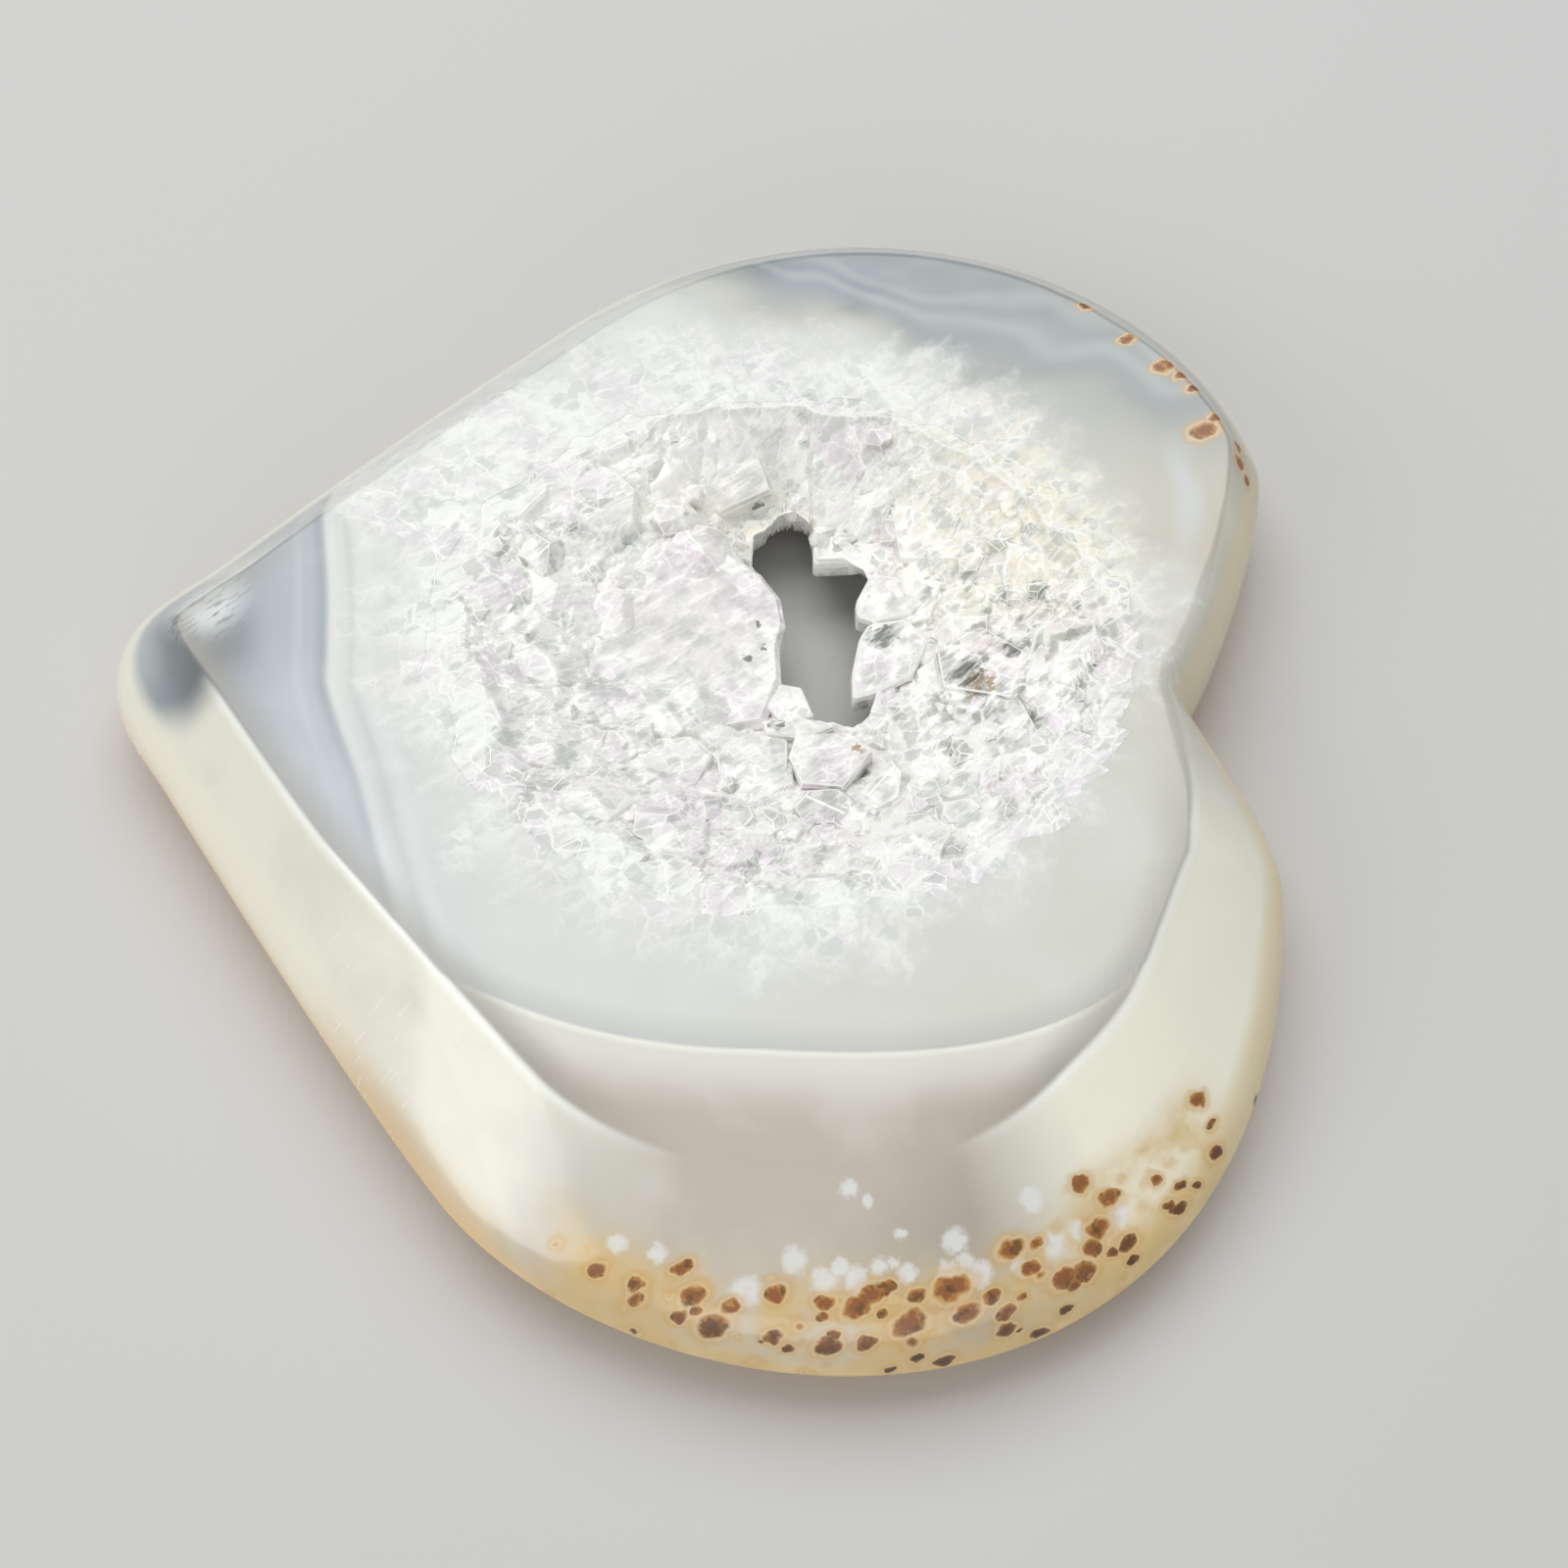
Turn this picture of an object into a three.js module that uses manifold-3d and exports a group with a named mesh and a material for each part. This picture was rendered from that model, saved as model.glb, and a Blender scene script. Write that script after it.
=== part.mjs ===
// A heart cut from a slice of banded agate: a polished slab with bevelled edges, and a hollow
// lined with quartz crystals that opens right through it.
// Millimetres, +Z up. The heart's axis lies along X with the tip at -X, the slab rests on
// z = 0, and the origin is under the middle of its box.

import * as THREE from "three";
import { ConvexGeometry } from "three/addons/geometries/ConvexGeometry.js";
import { mergeVertices } from "three/addons/utils/BufferGeometryUtils.js";
import Module from "manifold-3d";

const wasm = await Module();
wasm.setup();

// Driving dimensions of the slab
const LENGTH = 90; // tip to lobes, along X
const WIDTH = 96.6; // across both lobes, along Y
const THICKNESS = 13; // underside to the flat polished top
const GIRDLE_HEIGHT = 5; // the height at which the edge is widest
const FACET_SLOPE = 0.27; // fall of the broad facet below the top's curved edge, per millimetre
const EDGE_ROUNDING = [
  // inset and height of the edge from the flat underside up to the girdle
  [4.2, 0],
  [2.2, 0.5],
  [0.8, 1.8],
  [0.15, 3.4],
];

// The heart's outline as cubic curves: two handles and an end point each, from the tip round
// the lower lobe to the notch, then round the upper lobe back to the tip. The last number is
// how many steps the curve takes.
const TIP = [-44.8, 0];
const OUTLINE = [
  [[-44.8, -4.6], [-41.8, -7.0], [-38.4, -10.8], 6],
  [[-31.0, -19.3], [-20.1, -31.9], [-12.3, -39.4], 13],
  [[1.8, -52.9], [43.2, -55.6], [45.3, -13.6], 36],
  [[45.5, -9.0], [41.2, -3.4], [38.6, 1.0], 10],
  [[41.5, 6.0], [45.8, 20.0], [45.4, 24.1], 10],
  [[39.9, 48.6], [6.5, 56.9], [-14.2, 37.0], 36],
  [[-22.0, 29.0], [-31.0, 19.0], [-38.5, 9.8], 14],
  [[-41.5, 6.4], [-44.8, 4.2], [-44.8, 0], 6],
];

// The curved edge of the flat top above the broad facet, as two cubic curves
const TOP_EDGE = [
  [[-24.0, -21.0], [-14.0, -26.6], [-4.6, -30.8], [8.0, -29.8]],
  [[8.0, -29.8], [22.0, -29.6], [34.6, -27.4], [37.4, -12.0]],
];
const TOP_EDGE_STEPS = 24;
const TOP_STRIP = 1.2; // least width of the strip between a crease and the flat top's edge

// Bevel width by the bearing in degrees seen from the slab's middle, 180 being the tip
const BEVEL_WIDTH = [
  [-180, 7.0], [-151, 7.4], [-141, 8.0], [-125, 8.9], [-98, 10.4], [-82, 11.6], [-58, 12.1],
  [-46, 10.8], [-36, 9.9], [-26, 8.4], [-17, 5.9], [-8, 3.9], [0, 2.8], [8, 2.6], [28, 3.6],
  [60, 6.4], [120, 7.2], [180, 7.0],
];
// How far the bevel is rounded instead of flat, by the same bearing
const BEVEL_ROUNDNESS = [
  [-180, 0], [-112, 0], [-96, 1], [-70, 1], [-58, 0], [0, 0.3], [30, 0.4], [100, 0.2], [180, 0],
];
// Points along the bevel, from the girdle at 0 to the crease at 1: flat form, then rounded form
const BEVEL_STEPS = [
  { inset: 0.04, flat: 0.13, round: 0.2 },
  { inset: 0.14, flat: 0.28, round: 0.42 },
  { inset: 0.45, flat: 0.54, round: 0.76 },
];
// Search for a point a given inset inside the outline: how far in it starts, and its halvings
const INSET_SEARCH = { insets: 3, room: 2, halvings: 24 };

// The hollow: one ellipse for each height, from the rim in the flat top down to the underside
const HOLLOW = [
  { z: THICKNESS, x: 7.0, y: 2.3, across: 26.0, along: 22.6 },
  { z: 10.9, x: 7.0, y: 2.4, across: 25.4, along: 22.0 },
  { z: 7.4, x: 7.6, y: 4.6, across: 17.5, along: 17.4 },
  { z: 3.6, x: 8.8, y: 7.2, across: 9.6, along: 13.6 },
  { z: 0, x: 8.8, y: 7.0, across: 12.4, along: 15.6 },
];
const SLAB_MIDDLE = [8, 1]; // every section of the slab passes through this point in plan

// Driving dimensions of the crystal crust
const GAP = 0.3; // clear space between the crust and the slab
const CRUST_MIDDLE = [9.6, 6.5];
const CRUST_TOP = THICKNESS - 0.1;
const CRUST_FOOT = 0.5;
const BACK_STEPS = 48;
// The crust's back, a gap clear of the hollow: its height, and the hollow's height behind it
const CRUST_BACK = [
  { z: CRUST_TOP, behind: CRUST_TOP },
  { z: 11.3, behind: 10.9 },
  { z: 7.9, behind: 7.4 },
  { z: 3.9, behind: 3.6 },
  { z: CRUST_FOOT, behind: CRUST_FOOT },
];
// The irregular way right through, corner by corner, and the heights of its upper and lower lip
const HOLE = [
  [14.0, 1.8], [12.7, 4.2], [13.6, 7.8], [12.5, 9.0], [13.4, 11.2], [12.6, 13.4], [9.0, 13.5],
  [8.2, 17.0], [6.6, 19.0], [4.9, 17.6], [3.6, 15.6], [4.3, 12.2], [6.3, 9.4], [6.8, 5.4],
  [6.7, 1.8], [8.8, 1.4], [9.9, -1.2], [12.8, -1.2],
];
const HOLE_LIP = [5.8, 3.9];
// The bowl's height by the share of the way from the hole, at 0, to the rim, at 1
const BOWL = [[0, 5.8], [0.2, 6.9], [0.5, 8.8], [0.8, 11.0], [1, 12.5]];
// The bed of small crystals over the bowl, in rings from the hole out to the rim
const BED = {
  facet: 2.4, // size of a facet along its ring
  points: [0.64, 2.24], // how far the points stand above the bowl
  valleys: [-0.48, 0], // how far the valleys lie below it
  stray: 0.7, // how far a corner strays along its ring, as a share of a step
  drift: 0.07, // how far it strays off its ring, as a share of the way to the rim
  sunk: 0.8, // how far the bed lies below the bowl under a large flat crystal
  measuredAt: 0.6, // the turn at which a ring's radius is taken
  shares: [0.11, 0.23, 0.35, 0.47, 0.59, 0.71, 0.83, 0.93],
};
// The one large flat crystal beside the hole, and the ledge in front of it, corner by corner
const PLATES = [
  [
    [-12.2, 3.5, 10.6], [-10.4, 11.6, 10.8], [-4.2, 14.8, 10.2], [2.6, 13.2, 8.6], [5.8, 9.4, 7.6],
    [6.8, 2.2, 7.0], [5.6, -1.8, 7.2], [1.0, -4.2, 8.2], [-6.0, -4.6, 9.8],
  ],
  [
    [-3.0, -8.8, 10.6], [-1.4, -4.8, 9.2], [4.4, -3.4, 8.3], [9.4, -3.2, 8.1], [13.6, -4.6, 9.2],
    [10.4, -9.4, 10.8], [3.0, -10.6, 11.2],
  ],
];
const PLATE_DEPTH = 2.8;
// Belts of large crystals over the bed: where they stand, how many, their size and their lean
const BELTS = [
  { share: 0.86, count: 17, radius: [2.2, 3.6], height: [3.2, 4.8], inward: 0.3 },
  { share: 0.62, count: 14, radius: [2.2, 4.0], height: [3.4, 5.2], inward: 0.5 },
  { share: 0.36, count: 12, radius: [1.9, 3.4], height: [3.0, 4.6], inward: 0.45 },
  { share: 0.12, count: 9, radius: [1.4, 2.3], height: [1.8, 3.0], inward: 0.5 },
];
// How far the large crystals differ from an even row of equal ones
const VARIETY = {
  along: 0.8, // of the step between two crystals
  off: 0.14, // of the way to the rim
  lean: 0.75,
  smallness: 1.4, // above 1, small crystals outnumber large ones
  ownHeight: 0.4, // share of the height that doesn't follow the size
};
// A large crystal's form, in shares of its radius
const CRYSTAL = {
  sides: 6,
  across: [0.85, 1.15], // corners from the middle
  point: [0.9, 1.6], // shoulder to tip
  foot: 0.5, // depth below where it stands
  sunk: 0.3,
  tip: 0.25, // how far the tip strays sideways
};
// The rough ring of rock crystal on the underside: its place, its height and its corners
const UNDER = { share: 0.6, z: 1.6, rise: 0.7, fall: 0.5, steps: 28 };
const MERGE_WITHIN = 1e-4;
const SEED = 20311;

// The same set of numbers for the same seed, each from 0 to 1
function randomFrom(seed) {
  let state = seed;
  return () => {
    state = (state + 0x6d2b79f5) | 0;
    let t = Math.imul(state ^ (state >>> 15), 1 | state);
    t = (t + Math.imul(t ^ (t >>> 7), 61 | t)) ^ t;
    return ((t ^ (t >>> 14)) >>> 0) / 4294967296;
  };
}

const lerp = THREE.MathUtils.lerp;
const plan = ([x, y]) => new THREE.Vector2(x, y);
const chance = (random, [from, to]) => lerp(from, to, random());
const stray = (random, size) => size * (random() - 0.5);

// Reads a list of [place, value] pairs at any place, with straight lines between its entries
function valueAt(list, place) {
  const next = Math.max(1, list.findIndex(([listed]) => listed >= place));
  const [a, valueA] = list[next - 1];
  const [b, valueB] = list[next];
  return lerp(valueA, valueB, (place - a) / (b - a));
}

// The same with a smooth curve through the entries
function smoothValueAt(list, place) {
  const next = Math.max(1, list.findIndex(([listed]) => listed >= place));
  const slopeAt = (k) => {
    const [a, valueA] = list[Math.max(k - 1, 0)];
    const [b, valueB] = list[Math.min(k + 1, list.length - 1)];
    return (valueB - valueA) / (b - a);
  };
  const [a, valueA] = list[next - 1];
  const [b, valueB] = list[next];
  const span = b - a;
  const t = (place - a) / span;
  const rest = 1 - t;
  const values = rest * rest * (1 + 2 * t) * valueA + t * t * (3 - 2 * t) * valueB;
  return values + span * t * rest * (rest * slopeAt(next - 1) - t * slopeAt(next));
}

// The outline's points in order, fitted to LENGTH and WIDTH
function outlinePoints(stepsPerStep) {
  const points = [];
  let start = TIP;
  for (const [handleA, handleB, end, steps] of OUTLINE) {
    const curve = new THREE.CubicBezierCurve(plan(start), plan(handleA), plan(handleB), plan(end));
    const count = steps * stepsPerStep;
    for (let i = 0; i < count; i++) points.push(curve.getPoint(i / count));
    start = end;
  }
  const box = new THREE.Box2().setFromPoints(points);
  const size = box.getSize(new THREE.Vector2());
  const centre = box.getCenter(new THREE.Vector2());
  const scale = new THREE.Vector2(LENGTH / size.x, WIDTH / size.y);
  return points.map((p) => p.sub(centre).multiply(scale));
}

const FINE_OUTLINE = outlinePoints(6);

// Shortest distance in plan from a point to the outline
function distanceToOutline(p) {
  let best = Infinity;
  FINE_OUTLINE.forEach((a, i) => {
    const b = FINE_OUTLINE[(i + 1) % FINE_OUTLINE.length];
    const edge = b.clone().sub(a);
    const along = THREE.MathUtils.clamp(p.clone().sub(a).dot(edge) / edge.lengthSq(), 0, 1);
    best = Math.min(best, p.distanceTo(a.clone().addScaledVector(edge, along)));
  });
  return best;
}

// The point on the ray from the slab's middle that lies a given inset inside the outline
function insetPoint(middle, edgePoint, inset) {
  if (inset === 0) return edgePoint.clone();
  const ray = edgePoint.clone().sub(middle);
  const reach = ray.length();
  ray.normalize();
  let inner = reach - INSET_SEARCH.insets * inset - INSET_SEARCH.room;
  let outer = reach;
  for (let i = 0; i < INSET_SEARCH.halvings; i++) {
    const r = (inner + outer) / 2;
    const deep = distanceToOutline(middle.clone().addScaledVector(ray, r)) > inset;
    if (deep) inner = r;
    else outer = r;
  }
  return middle.clone().addScaledVector(ray, (inner + outer) / 2);
}

// The hollow's ellipse at any height
function hollowAt(z) {
  const below = HOLLOW.findIndex((level) => level.z <= z);
  const [upper, lower] = [HOLLOW[Math.max(below - 1, 0)], HOLLOW[below]];
  const part = upper === lower ? 0 : (z - lower.z) / (upper.z - lower.z);
  const mixed = { z };
  for (const key of ["x", "y", "across", "along"]) mixed[key] = lerp(lower[key], upper[key], part);
  return mixed;
}

// Distance along a ray to an ellipse that the ray starts inside
function reachOfEllipse(middle, ray, ellipse, shrink = 0) {
  const across = ellipse.across - shrink;
  const along = ellipse.along - shrink;
  const dx = (middle.x - ellipse.x) / across;
  const dy = (middle.y - ellipse.y) / along;
  const rx = ray.x / across;
  const ry = ray.y / along;
  const a = rx * rx + ry * ry;
  const b = dx * rx + dy * ry;
  const c = dx * dx + dy * dy - 1;
  return (-b + Math.sqrt(b * b - a * c)) / a;
}

// Distance along a ray to a chain of straight edges, or nothing where the ray misses it
function reachOfChain(middle, ray, chain, closed) {
  const count = closed ? chain.length : chain.length - 1;
  for (let i = 0; i < count; i++) {
    const a = chain[i].clone().sub(middle);
    const edge = chain[(i + 1) % chain.length].clone().sub(chain[i]);
    const across = ray.x * edge.y - ray.y * edge.x;
    const along = (a.x * edge.y - a.y * edge.x) / across;
    const share = (a.x * ray.y - a.y * ray.x) / across;
    if (along > 0 && share >= 0 && share <= 1) return along;
  }
  return undefined;
}

const TOP_EDGE_CHAIN = TOP_EDGE.flatMap((points) =>
  new THREE.CubicBezierCurve(...points.map(plan)).getPoints(TOP_EDGE_STEPS),
);

// Joins closed rings of points, one to the next and the last to the first, into one closed
// surface like a tyre's. Neighbouring rings may differ in their number of points, which are
// matched by their turn, the share of the way round the ring. A ring of one point is a cap.
function ringGeometry(rings) {
  const positions = rings.flat().flatMap((p) => [p.x, p.y, p.z]);
  const starts = rings.map((_, i) => rings.slice(0, i).flat().length);
  const turn = (ring, i) => (i < ring.length ? (ring[i].turn ?? i / ring.length) : 1);
  const index = [];
  rings.forEach((ringA, r) => {
    const s = (r + 1) % rings.length;
    const ringB = rings[s];
    const [stepsA, stepsB] = [ringA, ringB].map((ring) => (ring.length > 1 ? ring.length : 0));
    let [i, j] = [0, 0];
    while (i < stepsA || j < stepsB) {
      const a = starts[r] + (i % ringA.length);
      const b = starts[s] + (j % ringB.length);
      const stepA = i < stepsA && (j === stepsB || turn(ringA, i + 1) <= turn(ringB, j + 1));
      if (stepA) i++;
      else j++;
      const next = stepA ? starts[r] + (i % ringA.length) : starts[s] + (j % ringB.length);
      index.push(a, b, next);
    }
  });
  return closedGeometry(positions, index);
}

// A surface from its points' coordinates and its triangles
function closedGeometry(positions, index) {
  const geometry = new THREE.BufferGeometry();
  geometry.setAttribute("position", new THREE.Float32BufferAttribute(positions, 3));
  geometry.setIndex(index);
  return geometry;
}

const at = (p, z) => new THREE.Vector3(p.x, p.y, z);

// One section of the slab, from the hollow's foot out under the edge, up and back over the top
function slabSection(edgePoint) {
  const middle = plan(SLAB_MIDDLE);
  const ray = edgePoint.clone().sub(middle).normalize();
  const bearing = THREE.MathUtils.radToDeg(Math.atan2(ray.y, ray.x));
  const onRay = (r) => middle.clone().addScaledVector(ray, r);

  const width = smoothValueAt(BEVEL_WIDTH, bearing);
  const roundness = valueAt(BEVEL_ROUNDNESS, bearing);
  const crease = insetPoint(middle, edgePoint, width);
  const creaseReach = crease.distanceTo(middle);
  const arcReach = reachOfChain(middle, ray, TOP_EDGE_CHAIN, false) ?? Infinity;
  const creaseHeight = THICKNESS - FACET_SLOPE * Math.max(0, creaseReach - arcReach);
  const topEdgeReach = Math.min(arcReach, creaseReach - TOP_STRIP);

  const section = EDGE_ROUNDING.map(([inset, z]) => at(insetPoint(middle, edgePoint, inset), z));
  section.push(at(edgePoint, GIRDLE_HEIGHT));
  for (const step of BEVEL_STEPS) {
    const rise = lerp(step.flat, step.round, roundness);
    const p = insetPoint(middle, edgePoint, width * step.inset);
    section.push(at(p, lerp(GIRDLE_HEIGHT, creaseHeight, rise)));
  }
  section.push(at(crease, creaseHeight));
  section.push(at(onRay(topEdgeReach), THICKNESS));
  for (const level of HOLLOW) section.push(at(onRay(reachOfEllipse(middle, ray, level)), level.z));
  return section;
}

// The whole slab, one section for each point of the outline
function slabGeometry() {
  return ringGeometry(outlinePoints(1).map(slabSection));
}

// A closed surface as a solid that can be joined and cut
function toSolid(geometry) {
  const bare = geometry.clone();
  bare.deleteAttribute("normal");
  bare.deleteAttribute("uv");
  const merged = mergeVertices(bare, MERGE_WITHIN);
  return new wasm.Manifold(
    new wasm.Mesh({
      numProp: 3,
      vertProperties: new Float32Array(merged.attributes.position.array),
      triVerts: new Uint32Array(merged.index.array),
    }),
  );
}

// A solid's surface
function toGeometry(solid) {
  const mesh = solid.getMesh();
  const positions = [];
  for (let i = 0; i < mesh.numVert; i++) {
    const start = i * mesh.numProp;
    positions.push(...mesh.vertProperties.subarray(start, start + 3));
  }
  return closedGeometry(positions, [...mesh.triVerts]);
}

const holeReach = (ray) => reachOfChain(plan(CRUST_MIDDLE), ray, HOLE.map(plan), true);
const rayAt = (turn) => new THREE.Vector2(Math.cos(2 * Math.PI * turn), Math.sin(2 * Math.PI * turn));

// A point of the crust, at a turn round its middle, a reach out from it and a height
function crustPoint(turn, reach, z) {
  const point = at(plan(CRUST_MIDDLE).addScaledVector(rayAt(turn), reach), z);
  point.turn = turn;
  return point;
}

// A point on the bowl between the hole, at share 0, and the rim, at share 1
function bowlPoint(turn, share, lift = 0) {
  const ray = rayAt(turn);
  const rim = reachOfEllipse(plan(CRUST_MIDDLE), ray, HOLLOW[0], GAP);
  return crustPoint(turn, lerp(holeReach(ray), rim, share), valueAt(BOWL, share) + lift);
}

// One ring of the bed: points and valleys in turn, each a little out of line
function bedRing(share, order, random) {
  const reach = plan(CRUST_MIDDLE).distanceTo(bowlPoint(BED.measuredAt, share));
  const steps = 2 * Math.round((Math.PI * reach) / BED.facet);
  return Array.from({ length: steps }, (_, i) => {
    const isPoint = (i + order) % 2 === 0;
    const lift = chance(random, isPoint ? BED.points : BED.valleys);
    const turn = (i + (i > 0 ? stray(random, BED.stray) : 0)) / steps;
    const point = bowlPoint(turn, share + stray(random, BED.drift), lift);
    if (underPlate(point)) point.z -= lift + BED.sunk;
    return point;
  });
}

// One ring of the crust's back
function backRing({ z, behind }) {
  const ellipse = hollowAt(behind);
  return Array.from({ length: BACK_STEPS }, (_, i) => {
    const turn = i / BACK_STEPS;
    return crustPoint(turn, reachOfEllipse(plan(CRUST_MIDDLE), rayAt(turn), ellipse, GAP), z);
  });
}

// The hole's corners at one height, in the order of their turn
function holeRing(z) {
  const corners = HOLE.map(plan).map((corner) => {
    const point = at(corner, z);
    point.turn = (corner.sub(plan(CRUST_MIDDLE)).angle() / (2 * Math.PI)) % 1;
    return point;
  });
  return corners.sort((a, b) => a.turn - b.turn);
}

// The rough ring of rock crystal between the hole and the crust's back
function underRing(random) {
  const foot = hollowAt(CRUST_FOOT);
  return Array.from({ length: UNDER.steps }, (_, i) => {
    const turn = i / UNDER.steps;
    const ray = rayAt(turn);
    const out = reachOfEllipse(plan(CRUST_MIDDLE), ray, foot, GAP);
    const z = UNDER.z + (i % 2 ? UNDER.rise : -UNDER.fall) * random();
    return crustPoint(turn, lerp(holeReach(ray), out, UNDER.share), z);
  });
}

// The crust without its large crystals: bed, back, underside and the walls of the hole
function liningGeometry(random) {
  const [upperLip, lowerLip] = HOLE_LIP;
  return ringGeometry([
    holeRing(upperLip),
    ...BED.shares.map((share, order) => bedRing(share, order, random)),
    ...CRUST_BACK.map(backRing),
    underRing(random),
    holeRing(lowerLip),
  ]);
}

// The room that the crust may fill: everything inside its back, as a closed plug
function roomGeometry() {
  const middle = plan(CRUST_MIDDLE);
  return ringGeometry([[at(middle, CRUST_TOP)], ...CRUST_BACK.map(backRing), [at(middle, CRUST_FOOT)]]);
}

// The way right through, cut last so that no crystal closes it
function holeGeometry() {
  const shape = new THREE.Shape(HOLE.map(plan));
  return new THREE.ExtrudeGeometry(shape, { depth: THICKNESS, bevelEnabled: false });
}

// A six-sided quartz point that stands on its foot and leans as the direction says. Its
// pyramid faces are uneven, because the shoulder's corners sit at different heights.
function crystalGeometry(foot, direction, radius, height, random) {
  const turn = new THREE.Quaternion().setFromUnitVectors(
    new THREE.Vector3(0, 0, 1),
    direction.clone().normalize(),
  );
  const spin = random() * Math.PI;
  const local = [];
  for (let i = 0; i < CRYSTAL.sides; i++) {
    const angle = spin + (i * 2 * Math.PI) / CRYSTAL.sides;
    const across = radius * chance(random, CRYSTAL.across);
    const [x, y] = [across * Math.cos(angle), across * Math.sin(angle)];
    const shoulder = height - radius * chance(random, CRYSTAL.point);
    local.push(new THREE.Vector3(x, y, -CRYSTAL.foot * radius));
    local.push(new THREE.Vector3(x, y, shoulder));
  }
  const [tipX, tipY] = [0, 0].map(() => stray(random, CRYSTAL.tip * radius));
  local.push(new THREE.Vector3(tipX, tipY, height));
  return new ConvexGeometry(local.map((p) => p.applyQuaternion(turn).add(foot)));
}

// A large flat crystal, from the corners of its upper face
function plateGeometry(corners) {
  const points = corners.map(([x, y, z]) => new THREE.Vector3(x, y, z));
  const below = points.map((p) => p.clone().setZ(p.z - PLATE_DEPTH));
  return new ConvexGeometry([...points, ...below]);
}

// Whether a point lies under one of the large flat crystals
function underPlate(point) {
  const flat = point.clone().setZ(0);
  return PLATES.some((corners) => {
    const faces = THREE.ShapeUtils.triangulateShape(corners.map(plan), []);
    return faces.some((face) => {
      const [a, b, c] = face.map((k) => new THREE.Vector3(...corners[k]).setZ(0));
      return new THREE.Triangle(a, b, c).containsPoint(flat);
    });
  });
}

// The large crystals of one belt, leaning over the hollow
function beltCrystals(belt, random) {
  const crystals = [];
  for (let i = 0; i < belt.count; i++) {
    const turn = (i + stray(random, VARIETY.along)) / belt.count;
    const foot = bowlPoint(turn, belt.share + stray(random, VARIETY.off));
    const size = random() ** VARIETY.smallness;
    const radius = lerp(...belt.radius, size);
    const height = lerp(...belt.height, lerp(size, random(), VARIETY.ownHeight));
    const direction = at(rayAt(turn).multiplyScalar(-belt.inward), 1);
    direction.x += stray(random, VARIETY.lean);
    direction.y += stray(random, VARIETY.lean);
    foot.z -= CRYSTAL.sunk * radius;
    if (!underPlate(foot)) crystals.push(crystalGeometry(foot, direction, radius, height, random));
  }
  return crystals;
}

// The whole crust: lining and large crystals joined, trimmed to their room, the hole cut through
function crustGeometry() {
  const random = randomFrom(SEED);
  const pieces = [liningGeometry(random), ...PLATES.map(plateGeometry)];
  for (const belt of BELTS) pieces.push(...beltCrystals(belt, random));
  const joined = pieces.map(toSolid).reduce((whole, piece) => whole.add(piece));
  const trimmed = joined.intersect(toSolid(roomGeometry()));
  return toGeometry(trimmed.subtract(toSolid(holeGeometry())));
}

const agate = new THREE.MeshStandardMaterial({ color: 0xd9d7d2, roughness: 0.16, metalness: 0 });
const quartz = new THREE.MeshStandardMaterial({ color: 0xe9e6ec, roughness: 0.1, metalness: 0 });

function part(name, geometry, material) {
  const mesh = new THREE.Mesh(geometry, material);
  mesh.name = name;
  return mesh;
}

const stone = new THREE.Group();
stone.name = "agate_heart";
stone.add(part("agate_slab", slabGeometry(), agate));
stone.add(part("crystal_crust", crustGeometry(), quartz));

export default stone;
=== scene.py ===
# %% [markdown]
# # A polished agate heart lined with quartz
#
# The real object is one slice of a grey and cream agate nodule, ground to a heart, bevelled and
# polished. Its middle was never filled: it is a hollow whose walls grew quartz crystals, and it
# opens right through the slice.
#
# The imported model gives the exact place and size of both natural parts. This script keeps that
# frame and builds a finer skin around it: first the camera, then the slab, the crystals, the two
# materials, and last the floor and the light.

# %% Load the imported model
import math

import bmesh
import bpy
import numpy as np
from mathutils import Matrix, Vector
from mathutils.bvhtree import BVHTree


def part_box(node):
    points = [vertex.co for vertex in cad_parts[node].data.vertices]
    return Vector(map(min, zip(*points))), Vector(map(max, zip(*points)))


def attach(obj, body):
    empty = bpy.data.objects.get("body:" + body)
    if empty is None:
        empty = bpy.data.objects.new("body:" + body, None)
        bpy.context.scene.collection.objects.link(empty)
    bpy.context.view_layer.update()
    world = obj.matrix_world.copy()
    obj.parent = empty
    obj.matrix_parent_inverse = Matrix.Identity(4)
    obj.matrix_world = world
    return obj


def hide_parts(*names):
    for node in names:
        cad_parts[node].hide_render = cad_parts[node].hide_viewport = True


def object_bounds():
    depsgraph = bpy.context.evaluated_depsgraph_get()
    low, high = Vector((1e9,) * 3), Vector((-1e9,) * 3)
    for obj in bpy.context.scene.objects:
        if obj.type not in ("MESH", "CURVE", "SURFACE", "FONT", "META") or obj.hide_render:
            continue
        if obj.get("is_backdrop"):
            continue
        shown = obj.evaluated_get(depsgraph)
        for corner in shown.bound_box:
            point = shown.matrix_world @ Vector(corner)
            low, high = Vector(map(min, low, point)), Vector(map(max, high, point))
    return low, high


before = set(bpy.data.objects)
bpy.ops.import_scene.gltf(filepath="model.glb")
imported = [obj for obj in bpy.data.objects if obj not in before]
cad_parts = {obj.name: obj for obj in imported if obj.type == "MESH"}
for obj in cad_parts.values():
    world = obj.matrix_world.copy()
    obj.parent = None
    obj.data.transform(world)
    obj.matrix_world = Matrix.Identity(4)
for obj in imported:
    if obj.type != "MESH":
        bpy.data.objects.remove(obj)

MM = 0.001
cad_low, cad_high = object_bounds()
slab_low, slab_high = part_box("agate_slab")
LENGTH, WIDTH, THICKNESS = [(high - low) / MM for low, high in zip(slab_low, slab_high)]
print(f"slab {LENGTH:.1f} x {WIDTH:.1f} x {THICKNESS:.1f} mm, nodes {sorted(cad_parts)}")

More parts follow.
